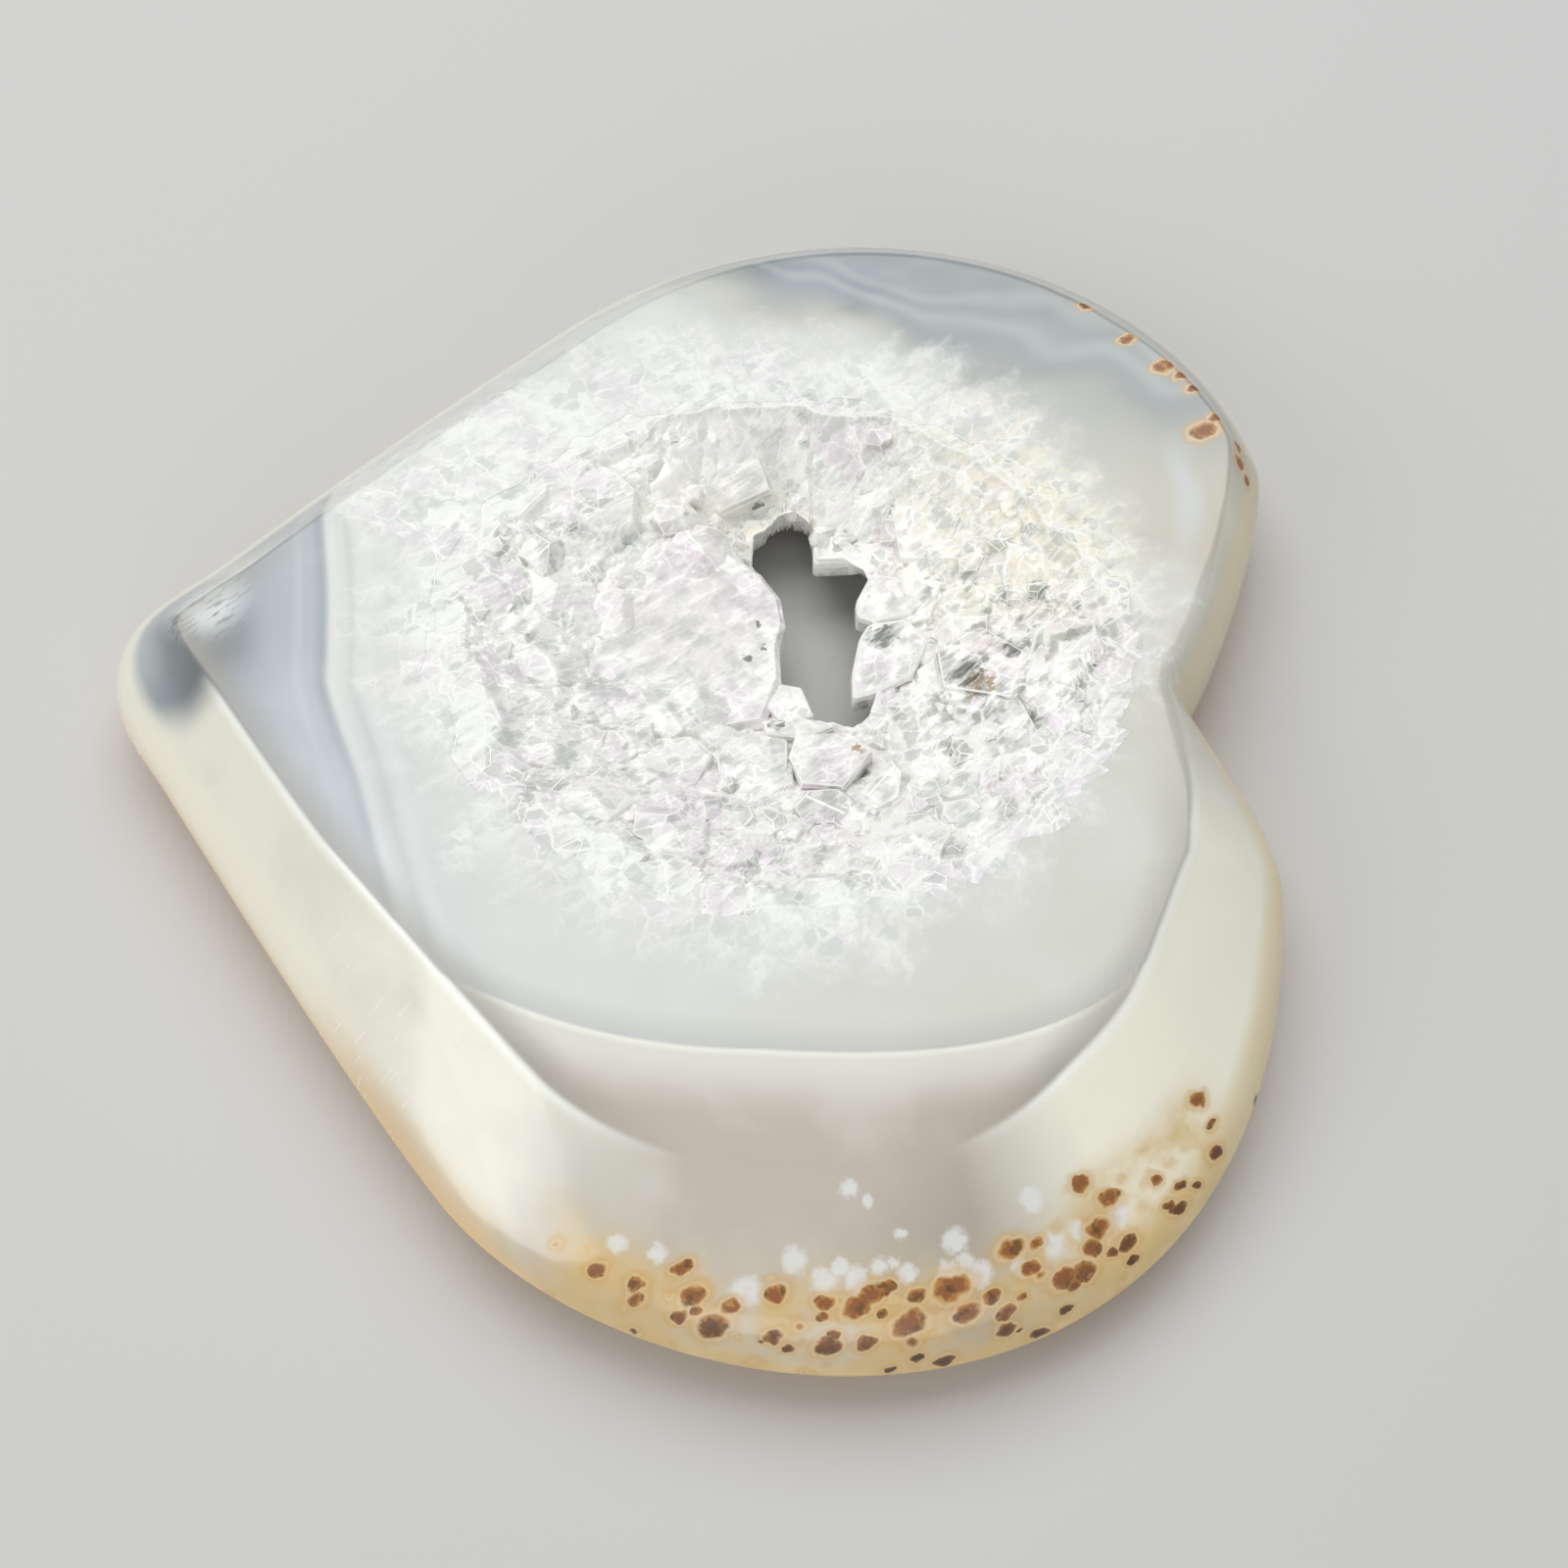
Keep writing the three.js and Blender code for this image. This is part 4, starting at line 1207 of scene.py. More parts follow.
def on_the_slab(x, y, width):
    """Place and radius in millimetres of a mark seen at a pixel of the photograph."""
    across, down = [(pixel - IMAGE_PIXELS / 2) / FOCAL_PIXELS for pixel in (x, y)]
    sight = (view_direction + across * camera_right - down * camera_up).normalized()
    place, _, _, distance = slab_surface.ray_cast(camera.location, sight)
    if place is None:
        return None
    radius = width / 2 / FOCAL_PIXELS * distance
    return tuple(place / MM), radius / MM


def found(marks):
    """The marks that the camera's lines meet on the slab."""
    return [spot for spot in (on_the_slab(*mark) for mark in marks) if spot]


def broad_painted_shadow(mark):
    """A soft round painted shadow round a mark, to lay over the agate's colour."""
    place, radius = on_the_slab(*mark)
    return {"centre": place[:2], "radii": (radius, radius), "softness": SHADOW_SOFTNESS}


brown_specks, white_clouds, rind_specks = [
    found(marks) for marks in (BROWN_SPECKS, WHITE_CLOUDS, RIND_SPECKS)
]
facet_shadow, bevel_shadow = broad_painted_shadow(FACET_SHADOW_AT), broad_painted_shadow(BEVEL_SHADOW_AT)
print(f"{len(brown_specks)} brown specks, {len(white_clouds)} clouds, {len(rind_specks)} on the rind")

# %% [markdown]
# ## The agate
#
# Chalcedony is a milky, very fine quartz: light enters it, scatters a little way in and comes out
# again, which softens its shading. So the base is a Principled shader with some subsurface
# scattering under a clear polish. Its colour is laid in zones, as on the real slice: grey near
# the tip, milky round the hollow, smoky blue round the far lobe, beige on the right. All zones
# are edged in coordinates that a slow noise bends, so that no border is a drawn curve.

# %% Agate colour zones
MILKY = screen_colour(207, 210, 203)
MILKY_WARM = screen_colour(199, 199, 186)
BEIGE = screen_colour(192, 188, 172)
BLUE_GREY = screen_colour(142, 151, 158)
PALE_BLUE = screen_colour(166, 173, 178)
BLUE_WHITE = screen_colour(190, 196, 199)
CLEAR_GREY = screen_colour(108, 113, 112)
BAND_LIGHT = screen_colour(224, 229, 227)
BAND_DARK = screen_colour(138, 148, 156)
EDGE_YELLOW = screen_colour(216, 208, 178)
GREY_BEIGE = screen_colour(168, 167, 156)
WARM_BORDER = {"point": (16, -12), "facing": -20, "blur": 30}
RIGHT_SIDE = {"centre": (39, 11), "radii": (15, 26), "softness": 0.8}
RIGHT_EDGE = {"centre": (45, 17), "radii": (7, 20), "softness": 0.8}

agate = Recipe("polished agate")
agate_place = agate.place()


def disturbed(recipe, place, scale, amount, detail=2.0):
    """A place moved about by noise, by up to about half the amount in millimetres."""
    return recipe.vector("ADD", place, recipe.drift(place, scale, amount, detail))


def soft_spot(recipe, place, centre, radii, softness):
    """1 in the middle of an ellipse in plan, falling to 0 at its edge."""
    offset = recipe.vector("SUBTRACT", place, (centre[0], centre[1], 0))
    shares = recipe.vector("MULTIPLY", offset, (1 / radii[0], 1 / radii[1], 0))
    return recipe.between(recipe.vector("LENGTH", shares), 1.0, 1.0 - softness)


def past_line(recipe, place, point, facing):
    """Distance past a line in plan through the point, seen in the direction given in degrees."""
    angle = math.radians(facing)
    offset = recipe.vector("SUBTRACT", place, (*point, 0))
    return recipe.vector("DOT_PRODUCT", offset, (math.cos(angle), math.sin(angle), 0))


def beyond_line(recipe, place, point, facing, blur):
    """0 before such a line and 1 beyond it."""
    return recipe.between(past_line(recipe, place, point, facing), -blur / 2, blur / 2)


def line_share(recipe, distance, line):
    """The share of a soft line that runs where a distance has one value."""
    away = recipe.calc("ABSOLUTE", recipe.calc("SUBTRACT", distance, line["at"]))
    return recipe.between(away, line["half"], 0.0, 0.0, line["share"])


agate_wavy = disturbed(agate, agate_place, 0.09, 6.0)
ground = agate.stored("ground")
inset = agate.stored("inset")
height = agate.height(agate_place)
colour = agate.layered(MILKY, [
    (beyond_line(agate, agate_wavy, **WARM_BORDER), MILKY_WARM),
    (agate.product(soft_spot(agate, agate_wavy, **RIGHT_SIDE), 0.9), BEIGE),
    (agate.product(soft_spot(agate, agate_wavy, **RIGHT_EDGE), 0.8), EDGE_YELLOW),
])
print("colour zones laid")

# %% [markdown]
# ## Bands near the tip
#
# The bands that give agate its name are faint here. Near the tip the stone turns a bluish grey
# behind one dark line, with pale lines on both sides of it. The border is straight in its upper
# half and leans outwards below, so it is the farther one of two straight lines, and every band
# is a narrow window on the distance from that border, in gently bent coordinates.

# %% Bands
BORDER_CORNER = (-25.5, -4.5)
BORDER_LEANS = (-0.245, -0.475)
BANDS = [
    {"at": 0.45, "half": 0.8, "colour": BAND_DARK, "share": 0.6},
    {"at": -0.55, "half": 0.7, "colour": BAND_LIGHT, "share": 0.3},
    {"at": -1.8, "half": 0.6, "colour": PALE_BLUE, "share": 0.3},
    {"at": -3.0, "half": 1.0, "colour": BAND_LIGHT, "share": 0.2},
    {"at": 2.2, "half": 0.7, "colour": BAND_LIGHT, "share": 0.12},
]
TIP_PATCH = {"centre": (-36.0, -1.8), "radii": (6.6, 6.6), "softness": 0.8}
TIP_FLECKS = {"centre": (-36.2, 1.6), "radii": (4.2, 4.4), "softness": 0.8}
FLECK_ANGLE = math.radians(50)
FLECK_SIZE = (1.6, 0.45, 1.0)

band_wavy = disturbed(agate, agate_place, 0.06, 1.6, detail=1.0)
band_place = agate.node("ShaderNodeSeparateXYZ", {0: band_wavy})
past_corner = agate.calc("SUBTRACT", band_place.outputs["Y"], BORDER_CORNER[1])
border = agate.calc("MAXIMUM", *[
    agate.calc("MULTIPLY_ADD", past_corner, lean, BORDER_CORNER[0]) for lean in BORDER_LEANS])
into_tip = agate.calc("SUBTRACT", border, band_place.outputs["X"])
beside_tip = agate.product(
    agate.between(into_tip, -9.0, -1.0), agate.between(past_corner, 2.0, -8.0))
lower_tip = agate.product(
    agate.between(into_tip, -1.0, 1.0), agate.between(past_corner, 0.0, -9.0))
fleck_noise = agate.noise(agate.stretched(agate_place, FLECK_ANGLE, FLECK_SIZE), 1.0, detail=4.0)
tip_flecks = agate.product(
    agate.between(fleck_noise, 0.32, 0.52), soft_spot(agate, agate_place, **TIP_FLECKS))
colour = agate.layered(colour, [
    (agate.product(beside_tip, 0.5), BLUE_WHITE),
    (agate.between(into_tip, -0.2, 0.5, 0.0, 0.95), PALE_BLUE),
    (agate.between(into_tip, 1.5, 8.0, 0.0, 0.68), BLUE_GREY),
    *[(line_share(agate, into_tip, band), band["colour"]) for band in BANDS],
    (agate.product(lower_tip, 0.65), BLUE_WHITE),
    (agate.product(soft_spot(agate, agate_wavy, **TIP_PATCH), 0.85), CLEAR_GREY),
    (agate.product(tip_flecks, 0.9), BAND_LIGHT),
])
print(f"{len(BANDS)} bands")

# %% [markdown]
# ## Clouds of the far lobe
#
# Round the far lobe the agate turns a smoky blue behind a border that curls like smoke. It is
# one distance again, this time in strongly warped coordinates: grey beige before the border, then
# blue with pale and dark wisps, which turns greyer to the right. A pale ribbon runs down beside
# the right edge, and the skin's edge is a grey-brown strip.

# %% Far lobe
WISP_WHITE = screen_colour(200, 206, 205)
STRIP_BROWN = screen_colour(140, 139, 131)
WISP_DARK = screen_colour(136, 146, 151)
LOBE_BLUE = screen_colour(136, 148, 154)
LOBE_GREY = screen_colour(164, 168, 162)
FAR_BORDER = {"point": (17.0, 30.6), "facing": 75}
FAR_FROM = {"point": (-4.0, 34.0), "facing": 0, "blur": 13}
FAR_ABOVE = {"point": (20.0, 20.0), "facing": 90, "blur": 8}
GREYER_FROM = {"point": (20.0, 34.0), "facing": -10, "blur": 26}
RIBBON = {"centre": (37.4, 17.5), "radii": (2.0, 8.0), "softness": 0.9}
WISPS = [
    {"at": 0.8, "half": 2.2, "colour": WISP_DARK, "share": 0.25},
    {"at": 3.0, "half": 1.6, "colour": WISP_WHITE, "share": 0.25},
    {"at": 4.6, "half": 1.0, "colour": WISP_DARK, "share": 0.2},
    {"at": 6.2, "half": 1.6, "colour": WISP_WHITE, "share": 0.2},
]

curled_place = disturbed(agate, agate_place, 0.09, 14.0, detail=1.2)
into_lobe = past_line(agate, curled_place, **FAR_BORDER)
far_part = agate.product(
    beyond_line(agate, agate_wavy, **FAR_FROM), beyond_line(agate, agate_wavy, **FAR_ABOVE))


def far(share):
    """A share that counts in the far lobe only."""
    return agate.product(share, far_part)


lobe_right = beyond_line(agate, agate_wavy, **GREYER_FROM)
cloud = agate.noise(agate_wavy, 0.06, detail=2.0)
colour = agate.layered(colour, [
    (far(agate.between(into_lobe, -6.0, 0.0, 0.0, 0.8)), GREY_BEIGE),
    (far(agate.between(into_lobe, -2.6, 2.4, 0.0, 0.85)), LOBE_BLUE),
    (far(agate.product(lobe_right, 0.55)), LOBE_GREY),
    *[(far(line_share(agate, into_lobe, wisp)), wisp["colour"]) for wisp in WISPS],
    (agate.product(soft_spot(agate, agate_wavy, **RIBBON), 0.6), WISP_WHITE),
    (far(agate.between(inset, 4.4, 3.4, 0.0, 0.85)), STRIP_BROWN),
    (agate.between(cloud, 0.5, 0.75, 0.0, 0.3), BAND_LIGHT),
])
print("far lobe clouded")

# %% [markdown]
# ## Facet and bevels
#
# Cut at a slope, the facet and the bevels catch the light differently, and much of that light and shade
# is painted into their colour. Each crease gets a painted highlight, a thin bright line on its lower
# side, and a painted shade, a darker seam above it. The facet fades from that line to a painted
# brownish shade, darkest low in its middle, where a broad painted shadow lies, and a second painted
# shadow lies on the left bevel. The bevels go from near white to cream, partly their own colour and
# partly painted light, brightest on the right, with a peach strip along the rim. The distances past
# each crease were stored on the mesh, so the colours follow the creases exactly.

# %% Facet and bevels
# Painted highlight: the thin bright line along each crease.
CREASE_HIGHLIGHT = screen_colour(254, 254, 243)
FACET_LIGHT = screen_colour(232, 229, 218)
# Painted shade: the facet darkens away from its crease to a brownish grey and a broad brown shadow.
PAINTED_SHADE_BROWN = screen_colour(197, 188, 174)
FACET_SHADOW_BROWN = screen_colour(162, 153, 138)
# The bevels' cream is partly their own colour and partly painted light; the right bevel gets extra
# painted light.
BEVEL_CREAM_AND_LIGHT = screen_colour(240, 237, 219)
BEVEL_PAINTED_LIGHT = screen_colour(252, 249, 230)
BEVEL_PEACH = screen_colour(220, 186, 138)
BEVEL_SHADE = screen_colour(231, 228, 212)
RIND_CREAM = screen_colour(226, 212, 172)
# Painted shade: the darker seams on the upper side of the creases.
SEAM_SHADE_GREY = screen_colour(160, 161, 158)
SEAM_SHADE_BROWN = screen_colour(152, 148, 136)
LIT_RIGHT_BEVEL = {"point": (24, -20), "facing": 10, "blur": 12}
TIP_END = {"centre": (-39.0, -0.5), "radii": (9.5, 8.0), "softness": 0.5}
FAR_RIND = {"point": (21.0, 34.0), "facing": 5, "blur": 8}
FAR_LEFT = {"point": (-10.0, 0.0), "facing": 160, "blur": 12}

past_arc = agate.stored("past_arc")
past_crease = agate.stored("past_crease")
on_facet = agate.stored("on_facet")
on_bevel = agate.stored("on_bevel")
crisp = agate.stored("crisp")
slow_tone = agate.noise(agate_wavy, 0.12, detail=3.0)


def painted_shade_above(past, width):
    """A soft painted shade on the upper side of a crease."""
    return agate.product(agate.between(past, -width, -0.1), agate.between(past, 0.05, -0.1))


facet_colour = agate.layered(FACET_LIGHT, [
    (agate.between(past_arc, 0.6, 4.5), PAINTED_SHADE_BROWN),
    (agate.between(slow_tone, 0.45, 0.7, 0.0, 0.35), FACET_LIGHT),
    (agate.between(past_arc, 0.6, 0.1, 0.0, 0.7), CREASE_HIGHLIGHT),
    (agate.product(soft_spot(agate, agate_wavy, **facet_shadow), 0.65), FACET_SHADOW_BROWN),
])
bevel_colour = agate.layered(BEVEL_CREAM_AND_LIGHT, [
    (agate.between(slow_tone, 0.42, 0.7), BEVEL_SHADE),
    (beyond_line(agate, agate_wavy, **LIT_RIGHT_BEVEL), BEVEL_PAINTED_LIGHT),
    (agate.between(inset, 2.8, 0.4, 0.0, 0.8), BEVEL_PEACH),
    (agate.between(past_crease, 0.9, 0.2), CREASE_HIGHLIGHT),
    (agate.product(soft_spot(agate, agate_wavy, **bevel_shadow), 0.7), PAINTED_SHADE_BROWN),
])
off_tip = agate.calc("SUBTRACT", 1.0, soft_spot(agate, agate_wavy, **TIP_END))
far_rind = agate.product(
    agate.between(inset, 3.0, 1.2), beyond_line(agate, agate_wavy, **FAR_RIND))
far_left = agate.product(
    agate.between(inset, 3.4, 1.8), beyond_line(agate, agate_place, **FAR_LEFT))
colour = agate.layered(colour, [
    (agate.product(painted_shade_above(past_arc, 2.4), 0.4), SEAM_SHADE_GREY),
    (agate.product(on_facet, 0.92), facet_colour),
    (agate.product(painted_shade_above(past_crease, 2.6), crisp, 0.6), SEAM_SHADE_BROWN),
    (agate.product(on_bevel, 0.9, off_tip), bevel_colour),
    (agate.product(far_rind, 0.7), RIND_CREAM),
    (agate.product(far_left, 0.85), BEVEL_CREAM_AND_LIGHT),
])
print("facet and bevels laid")

# %% [markdown]
# ## The rim and the belt
#
# The nodule's skin shows along the lower edge as an amber and cream rim, which fades upwards, and above
# it runs a cloudy amber belt, in which the specks lie. The cream of the rim is partly the skin's colour
# and partly a painted glow of light coming through the stone, painted stronger on the near side. The
# rim goes by height, since the slab lies level, and by the side it faces, and the belt by the number
# that is stored on the mesh.

# %% Rim and belt
# The rim's cream is partly the skin's colour and partly a painted glow of light through the stone,
# stronger on the near side.
RIM_CREAM_GLOW = screen_colour(255, 208, 118)
RIM_AMBER = screen_colour(226, 156, 62)
BELT_AMBER = screen_colour(218, 188, 130)
NEAR_SIDE = {"point": (0, 10), "facing": -90, "blur": 40}
TORN = {"scale": 0.95, "amount": 0.9}

near_side = beyond_line(agate, agate_place, **NEAR_SIDE)
rim_glow_share = agate.product(
    agate.between(height, 7.0, 3.6), agate.between(near_side, 0, 1, 0.5, 0.95))
amber_share = agate.product(
    agate.between(height, 5.2, 2.2), agate.between(slow_tone, 0.3, 0.6, 0.6, 1.0))
torn_place = disturbed(agate, agate_place, **TORN)
belt_share = agate.stored("belt")
belt_tone = agate.noise(torn_place, 0.22, detail=4.0)
amber_belt = agate.product(belt_share, agate.between(belt_tone, 0.36, 0.6, 0.3, 0.9))
colour = agate.layered(colour, [
    (rim_glow_share, RIM_CREAM_GLOW),
    (amber_share, RIM_AMBER),
    (amber_belt, BELT_AMBER),
])
print("rim and belt laid")

# %% [markdown]
# ## Specks and white clouds
#
# The specks are drawn as distances to their centres, in coordinates that a fine noise disturbs
# and that are squeezed across one slanting direction, because the real ones all lean the same
# way. Each has a golden glow and a thin pale ring round it, and its inside is mottled: orange
# brown in the upper rows, dark brown below. Specks of like size share one distance, which keeps
# the material small, and the tiny ones between them are random cells.

# %% Specks and clouds
SPECK_DARK = screen_colour(74, 44, 24)
SPECK_BROWN = screen_colour(124, 78, 42)
SPECK_ORANGE = screen_colour(142, 86, 46)
SPECK_GOLD = screen_colour(184, 128, 62)
SPECK_GLOW = screen_colour(206, 160, 84)
SPECK_HALO = screen_colour(236, 216, 176)
CLOUD_WHITE = screen_colour(232, 233, 230)
LEANING = {"turn": math.radians(30), "long": 1.2, "short": 0.8}
CLOUD_TORN = {"scale": 1.7, "amount": 0.9}
TINY_SPECKS = {"scale": 0.40, "largest": 0.28, "sharpness": 3.5}
UPPER_ROW = (6.2, 8.4)
MARK_STEP = 0.2

leaning_place = agate.stretched(
    torn_place, LEANING["turn"], (LEANING["long"], LEANING["short"], 1.0))


def leaning(marks):
    """The marks' middles, moved into the coordinates in which leaning specks are round."""
    cosine, sine = math.cos(LEANING["turn"]), math.sin(LEANING["turn"])
    moved = []
    for (x, y, z), radius in marks:
        along = (cosine * x + sine * y) / LEANING["long"]
        across = (cosine * y - sine * x) / LEANING["short"]
        moved.append(((along, across, z), radius))
    return moved


def nearest_mark(recipe, place, marks):
    """1 at the centre of a mark, 0 at its edge and below 0 outside all of them."""
    field = None
    sizes = {}
    for centre, radius in marks:
        sizes.setdefault(max(1, round(radius / MARK_STEP)) * MARK_STEP, []).append(centre)
    for radius, centres in sorted(sizes.items()):
        nearest = recipe.vector("DISTANCE", place, centres[0])
        for centre in centres[1:]:
            nearest = recipe.calc("MINIMUM", nearest, recipe.vector("DISTANCE", place, centre))
        depth = recipe.calc("MULTIPLY_ADD", nearest, -1 / radius, 1.0)
        field = depth if field is None else recipe.calc("MAXIMUM", field, depth)
    return field


speckle = agate.cells(leaning_place, TINY_SPECKS["scale"])
speckle_size = agate.first_of(speckle.outputs["Color"])
speckle_limit = agate.product(
    agate.between(speckle_size, 0.45, 1.0, 0.0, TINY_SPECKS["largest"]), belt_share)
tiny_speck = agate.calc("SUBTRACT", speckle_limit, speckle.outputs["Distance"])
tiny_speck = agate.product(tiny_speck, TINY_SPECKS["sharpness"])
tiny_speck = agate.calc("SUBTRACT", tiny_speck, agate.between(belt_share, 0.5, 0.1, 0.0, 2.0))
placed_speck = nearest_mark(agate, leaning_place, leaning(brown_specks + rind_specks))
speck = agate.calc("MAXIMUM", placed_speck, tiny_speck)
white = nearest_mark(agate, disturbed(agate, agate_place, **CLOUD_TORN), white_clouds)
speck_tone = agate.noise(agate_place, 0.9, detail=3.0)
upper_row = agate.between(height, *UPPER_ROW)
speck_edge = agate.mix(upper_row, SPECK_BROWN, SPECK_GOLD)
speck_core = agate.mix(upper_row, SPECK_DARK, SPECK_ORANGE)
into_speck = agate.calc("ADD", speck, agate.between(speck_tone, 0.35, 0.65, -0.3, 0.3))
speck_colour = agate.layered(speck_edge, [
    (agate.between(into_speck, 0.15, 0.6), speck_core),
    (agate.between(speck_tone, 0.50, 0.40, 0.0, 0.75), SPECK_DARK),
    (agate.between(speck_tone, 0.62, 0.7, 0.0, 0.6), SPECK_GLOW),
])
colour = agate.layered(colour, [
    (agate.between(white, -0.35, 0.45, 0.0, 0.75), CLOUD_WHITE),
    (agate.between(speck, -1.1, 0.0, 0.0, 0.55), SPECK_GLOW),
    (agate.between(speck, -0.4, -0.1, 0.0, 0.35), SPECK_HALO),
    (agate.between(speck, -0.12, 0.2, 0.0, 0.96), speck_colour),
])
print("specks and clouds laid")

# %% [markdown]
# ## The colour of quartz
#
# The crystals are fused, so what the eye sees is a mosaic: every grain has a tone of its own,
# white, a breath of lavender or a smoky grey, and the joins between grains are thin white lines.
# A Voronoi texture gives both: the colour of a cell is the grain's tone, and the distance to the cell's
# edge draws the line. Fine strokes run across everything in one direction, as the growth lines do on
# the real faces. The large flat crystal beside the hole is calmer and greyer than the rest, the far
# wall, which the main lamp barely reaches, is painted whiter as painted light, and right of the hole
# many grains are clear enough to look dark.
# The pattern lies in space, so it runs on unbroken from the standing crystals to the polished
# ones. Those are coloured a little darker, because they lie level and the lamp brightens them.

# %% Colour of quartz
QUARTZ_WHITE = screen_colour(247, 247, 240)
QUARTZ_LAVENDER = screen_colour(238, 229, 234)
QUARTZ_CREAM = screen_colour(246, 238, 212)
QUARTZ_SMOKE = screen_colour(202, 206, 199)
EDGE_WHITE = screen_colour(255, 255, 249)
STROKE_ANGLE = math.radians(42)
STROKE_SIZE = (2.6, 0.7, 1.4)
JOINS = [
    {"scale": 0.30, "half": 0.065, "low": 0.32, "high": 0.50, "in": "2D"},
    {"scale": 0.80, "half": 0.075, "low": 0.40, "high": 0.58, "in": "3D"},
]
CALM_MIDDLE = np.mean(HAND_CRYSTALS["beside"]["outline"], axis=0).tolist()
CALM_PART = {"centre": CALM_MIDDLE, "radii": (8.0, 7.0), "softness": 0.5}
CALM_STRENGTH = 0.75
PLATE_TONE = screen_colour(217, 209, 209)
GRAIN_DARK = screen_colour(160, 161, 148)
# Painted light: the far wall, which the main lamp barely reaches, is painted whiter.
PAINTED_LIGHT_WALL = {"centre": (-3.0, 19.5), "radii": (12.0, 7.0), "softness": 0.7}
DARK_GRAINS = {"centre": (24.0, 3.5), "radii": (13.0, 13.0), "softness": 0.7}
WARM_WALL = {"centre": (1.0, 17.0), "radii": (11.0, 5.5), "softness": 0.9}
WARM_RIGHT = {"centre": (27.0, 17.0), "radii": (19.0, 20.0), "softness": 0.9}
FLUSH_TONE = (0.89, 0.90, 0.89, 1.0)
FLUSH_HEIGHTS = (12.3, 12.95)


def quartz_colour(recipe, place):
    """The colour of fused quartz in space, its grains' tones, its veils and its strokes."""
    bent = disturbed(recipe, place, 0.5, 1.6, detail=3.0)
    strokes = recipe.noise(recipe.stretched(place, STROKE_ANGLE, STROKE_SIZE), 1.0, detail=3.0)
    patches = recipe.noise(place, 0.15, detail=2.0)
    veils = recipe.noise(place, 0.55, detail=3.0)
    calm = soft_spot(recipe, place, **CALM_PART)
    lively = recipe.calc("MULTIPLY_ADD", calm, -CALM_STRENGTH, 1.0)
    joins = None
    for join in JOINS:
        edges = recipe.cells(bent, join["scale"], "DISTANCE_TO_EDGE", join["in"]).outputs["Distance"]
        line = recipe.product(
            recipe.between(edges, join["half"], 0.0), recipe.between(veils, join["low"], join["high"]))
        joins = line if joins is None else recipe.calc("MAXIMUM", joins, line)
    grain = recipe.first_of(recipe.cells(bent, JOINS[-1]["scale"]).outputs["Color"])
    smoky = recipe.product(recipe.between(grain, 0.55, 1.0), lively)
    dark_grain = recipe.product(
        recipe.between(grain, 0.3, 0.75), recipe.between(veils, 0.60, 0.42),
        soft_spot(recipe, place, **DARK_GRAINS))
    shade = recipe.layered(QUARTZ_WHITE, [
        (recipe.between(patches, 0.44, 0.6), QUARTZ_LAVENDER),
        (recipe.product(soft_spot(recipe, place, **WARM_WALL), 0.7), QUARTZ_CREAM),
        (recipe.product(soft_spot(recipe, place, **WARM_RIGHT), 0.8), QUARTZ_CREAM),
        (recipe.product(calm, 0.6), PLATE_TONE),
        (recipe.product(smoky, 0.7), QUARTZ_SMOKE),
        (recipe.between(veils, 0.48, 0.34, 0.0, 0.45), QUARTZ_SMOKE),
        (recipe.between(strokes, 0.44, 0.34, 0.0, 0.4), QUARTZ_SMOKE),
        (recipe.product(dark_grain, 0.8), GRAIN_DARK),
        (recipe.product(soft_spot(recipe, place, **PAINTED_LIGHT_WALL), 0.6), EDGE_WHITE),
        (recipe.between(strokes, 0.53, 0.62, 0.0, 0.6), EDGE_WHITE),
        (recipe.product(joins, lively, 0.95), EDGE_WHITE),
    ])
    flush = recipe.between(recipe.height(place), *FLUSH_HEIGHTS)
    return recipe.mix(flush, shade, FLUSH_TONE, "MULTIPLY"), grain, veils, strokes


print("grains of about", [round(1 / join["scale"], 1) for join in JOINS], "mm")

# %% [markdown]
# ## Cut crystals round the hollow
#
# Outside the bowl the same crystals run on under the polish, cut across, in the same colours.
# Between them lie grey flecks that point away from the hollow. Coordinates made of the direction
# from the middle and a slow distance stretch the noise along that direction, with no seam
# anywhere. The outer border is torn by the same noise, and fades into the milky agate.

# %% Cut crystals
CUT_GREY = screen_colour(204, 208, 204)
FAN_TURNS = 26.0
FAN_STEP = 0.55
FAN_DRIFT = {"scale": 0.4, "amount": 3.0, "detail": 4.0}
FAR_RING = {"point": (0.0, 20.0), "facing": 100, "blur": 16}
BORDER_TEAR = 0.5

flat_offset = agate.vector("SUBTRACT", agate_place, (*CRYSTAL_MIDDLE, 0))
flat_offset = agate.vector("MULTIPLY", flat_offset, (1, 1, 0))
fan = agate.vector("SCALE", agate.vector("NORMALIZE", flat_offset), scale=FAN_TURNS)
slow_distance = agate.product(agate.vector("LENGTH", flat_offset), FAN_STEP)
outwards = agate.node("ShaderNodeCombineXYZ", {"Z": slow_distance}).outputs[0]
fan_place = agate.vector("ADD", fan, outwards)
fan_place = agate.vector("ADD", fan_place, agate.drift(agate_place, **FAN_DRIFT))
flecks = agate.noise(fan_place, 0.9, detail=4.0, roughness=0.62)
cut_colour = agate.layered(quartz_colour(agate, agate_place)[0], [
    (agate.between(flecks, 0.50, 0.36, 0.0, 0.6), CUT_GREY),
    (agate.product(beyond_line(agate, agate_place, **FAR_RING), 0.25), CUT_GREY),
])
tear = agate.calc("SUBTRACT", agate.noise(fan_place, 0.4, detail=4.0), 0.5)
torn_ground = agate.calc("ADD", ground, agate.product(tear, BORDER_TEAR))
cut_zone = agate.product(
    agate.between(torn_ground, 1.13, 0.84), agate.between(height, 2.0, 4.0))
colour = agate.mix(cut_zone, colour, cut_colour)
print("cut crystals laid")

